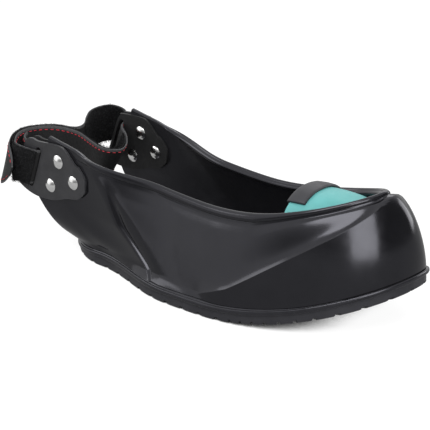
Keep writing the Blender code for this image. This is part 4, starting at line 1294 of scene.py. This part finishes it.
def add_stitches(name, path, reach, body, start=0.0):
    """Two rows of red stitches along the webbing's inner face, on both sides of its middle."""
    bm = bmesh.new()
    for offset in (reach, -reach):
        stitch_line(bm, path, offset, -(STRAP_THICKNESS / 2 + STITCH_PROUD), start)
    add_piece(name, bm, [FINISH["thread"]], body)


def make_strap():
    """Heel strap: fixed run with loop pile, and the folded back end with its pile, hooks and tab."""
    run = curve_through(heel_rows(), SPAN)
    band = add_band("heel_band", run, "shoe", "heel_strap")
    pile_run = run[PILE_SPANS[0] * SPAN - 1:PILE_SPANS[1] * SPAN]
    add_pile("heel", pile_run, "shoe", "heel_strap_pile", (3, 5))
    add_stitches("heel_stitches", run, half_width(run, STRAP_WIDTH, False) - STITCH_INSET, "shoe")

    fold, lap_start, tab_start = fold_path(run)
    fold_run = stretch(fold, 0.0, tab_start - HINGE_GAP, BAND_ROWS)
    band = add_band("fold_band", fold_run, "strap_fold", "fold_strap")
    fuzz_run = stretch(fold, FOLD_PILE_START, lap_start - FOLD_PILE_END, PILE_ROWS)
    add_pile("fold", fuzz_run, "strap_fold", "fold_strap_pile", (7, 9))
    grip_run = stretch(fold, lap_start, tab_start - GRIP_END, GRIP_ROWS)
    add_hooks("fold_hooks", grip_run, "strap_fold", "fold_strap_hook")

    tab = flared(stretch(fold, tab_start + HINGE_GAP, tab_start + TAB_REACH, BAND_ROWS))
    band = add_band("tab_band", tab, None, "strap_tab", round_end=True)
    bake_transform(band)
    add_hooks("tab_hooks", tab[TAB_BEND_ROWS:TAB_GRIP_ROWS], "strap_tab", "strap_tab_hook")
    edge = half_width(tab, STRAP_WIDTH, True) - STITCH_INSET
    add_stitches("tab_stitches", tab[:-2], edge[:-2], "strap_tab", TAB_STITCH_START)


# Studio: pale floor, soft lamps, white background and the photograph's camera
def direction(azimuth, elevation):
    """Unit vector at an azimuth, where 0 is -Y and 90 is +X, and an elevation, in degrees."""
    azimuth, elevation = math.radians(azimuth), math.radians(elevation)
    return Vector((math.sin(azimuth) * math.cos(elevation), -math.cos(azimuth) * math.cos(elevation),
                   math.sin(elevation)))


def clear_rays(nodes, path):
    """1 for rays that come straight from the camera or through something clear."""
    return nodes.maths("MAXIMUM", path["Is Camera Ray"], path["Is Transmission Ray"])


def make_floor():
    """Pale floor that shows white, with a painted contact shadow: its glow dims where an occlusion test finds the
    shoe close above it.
    """
    mesh = bpy.data.meshes.new("floor")
    corners = ((-1, -1), (1, -1), (1, 1), (-1, 1))
    mesh.from_pydata([(x * FLOOR_REACH, y * FLOOR_REACH, FLOOR_Z) for x, y in corners], [], [(0, 1, 2, 3)])
    made = bpy.data.materials.new("pale_floor")
    made.use_nodes = True
    nodes = Nodes(made.node_tree)
    nodes.tree.nodes.clear()
    path = nodes.node("LightPath").outputs
    gloss = nodes.maths("MULTIPLY", path["Is Glossy Ray"], FLOOR_GLOSS)
    seen = nodes.maths("MAXIMUM", clear_rays(nodes, path), gloss)
    # Painted contact shadow: the glow is cut where ambient occlusion finds the shoe close by
    near = nodes.node("AmbientOcclusion", {"Distance": CONTACT_REACH}).outputs["AO"]
    glow_outside_painted_shadow = nodes.maths("MULTIPLY", seen, nodes.between(near, 0.0, 1.0, *CONTACT_SHADE, "SMOOTHSTEP"))
    level = nodes.maths("MULTIPLY", glow_outside_painted_shadow, FLOOR_GLOW)
    glow = nodes.node("Emission", {"Color": (1, 1, 1, 1), "Strength": level}).outputs[0]
    diffuse = nodes.node("BsdfDiffuse", {"Color": (FLOOR_GREY, FLOOR_GREY, FLOOR_GREY, 1)}).outputs[0]
    both = nodes.node("AddShader", {0: glow, 1: diffuse}).outputs[0]
    nodes.node("OutputMaterial", {"Surface": both})
    mesh.materials.append(made)
    link("floor", mesh)


def make_world():
    """White background, with soft room light; the room's unlit sides show only in gloss."""
    world = bpy.data.worlds.new("studio")
    bpy.context.scene.world = world
    world.use_nodes = True
    nodes = Nodes(world.node_tree)
    nodes.tree.nodes.clear()
    path = nodes.node("LightPath").outputs
    place = nodes.node("TexCoord").outputs["Generated"]
    backdrop = 1.0
    for azimuth, elevation, inner, outer, depth in UNLIT_SIDES:
        sides = {0: place, 1: direction(azimuth, elevation)}
        facing = nodes.node("VectorMath", sides, operation="DOT_PRODUCT").outputs["Value"]
        start, end = math.cos(math.radians(outer)), math.cos(math.radians(inner))
        fade = nodes.between(facing, 1.0, 1.0 - depth, start, end, "SMOOTHSTEP")
        backdrop = nodes.maths("MULTIPLY", fade, backdrop)
    clear = clear_rays(nodes, path)
    seen = nodes.maths("MAXIMUM", clear, nodes.maths("MULTIPLY", path["Is Glossy Ray"], backdrop))
    other = nodes.maths("SUBTRACT", 1.0, nodes.maths("MAXIMUM", clear, path["Is Glossy Ray"]))
    strength = nodes.maths("ADD", seen, nodes.maths("MULTIPLY", other, ROOM_LIGHT))
    white = nodes.node("Background", {"Color": (1, 1, 1, 1), "Strength": strength}).outputs[0]
    nodes.node("OutputWorld", {"Surface": white})


def make_camera():
    """Camera at the photograph's viewing angle."""
    back = direction(CAMERA_AZIMUTH, CAMERA_ELEVATION)
    right = direction(CAMERA_AZIMUTH + 90, 0)
    up = back.cross(right)
    data = bpy.data.cameras.new("camera")
    data.sensor_width = SENSOR
    data.lens = CAMERA_FOCUS * SENSOR / IMAGE_SIDE
    camera = link("camera", data)
    place = right * CAMERA_RIGHT + up * CAMERA_UP + back * CAMERA_DISTANCE
    camera.matrix_world = Matrix.Translation(place) @ Matrix((right, up, back)).transposed().to_4x4()
    bpy.context.scene.camera = camera


def make_softbox(name, azimuth, elevation, distance, width, height, brightness):
    """Lamp that faces the shoe from an azimuth and elevation."""
    light = bpy.data.lights.new(name, "AREA")
    light.shape = "RECTANGLE"
    light.size, light.size_y = width, height
    light.energy = brightness * math.pi * width * height
    item = link(name, light)
    away = direction(azimuth, elevation)
    item.location = MIDDLE + away * distance
    item.rotation_euler = (-away).to_track_quat("-Z", "Y").to_euler()


make_upper()
make_sole()
make_cap()
make_guard()
make_anchor("right", -1, ANCHOR_TAIL)
make_anchor("left", 1, LEFT_TAIL)
make_rivets()
make_strap()
make_floor()
make_world()
make_camera()
for box_name, settings in SOFTBOXES.items():
    make_softbox(box_name, *settings)
bpy.context.scene.view_settings.view_transform = "Standard"
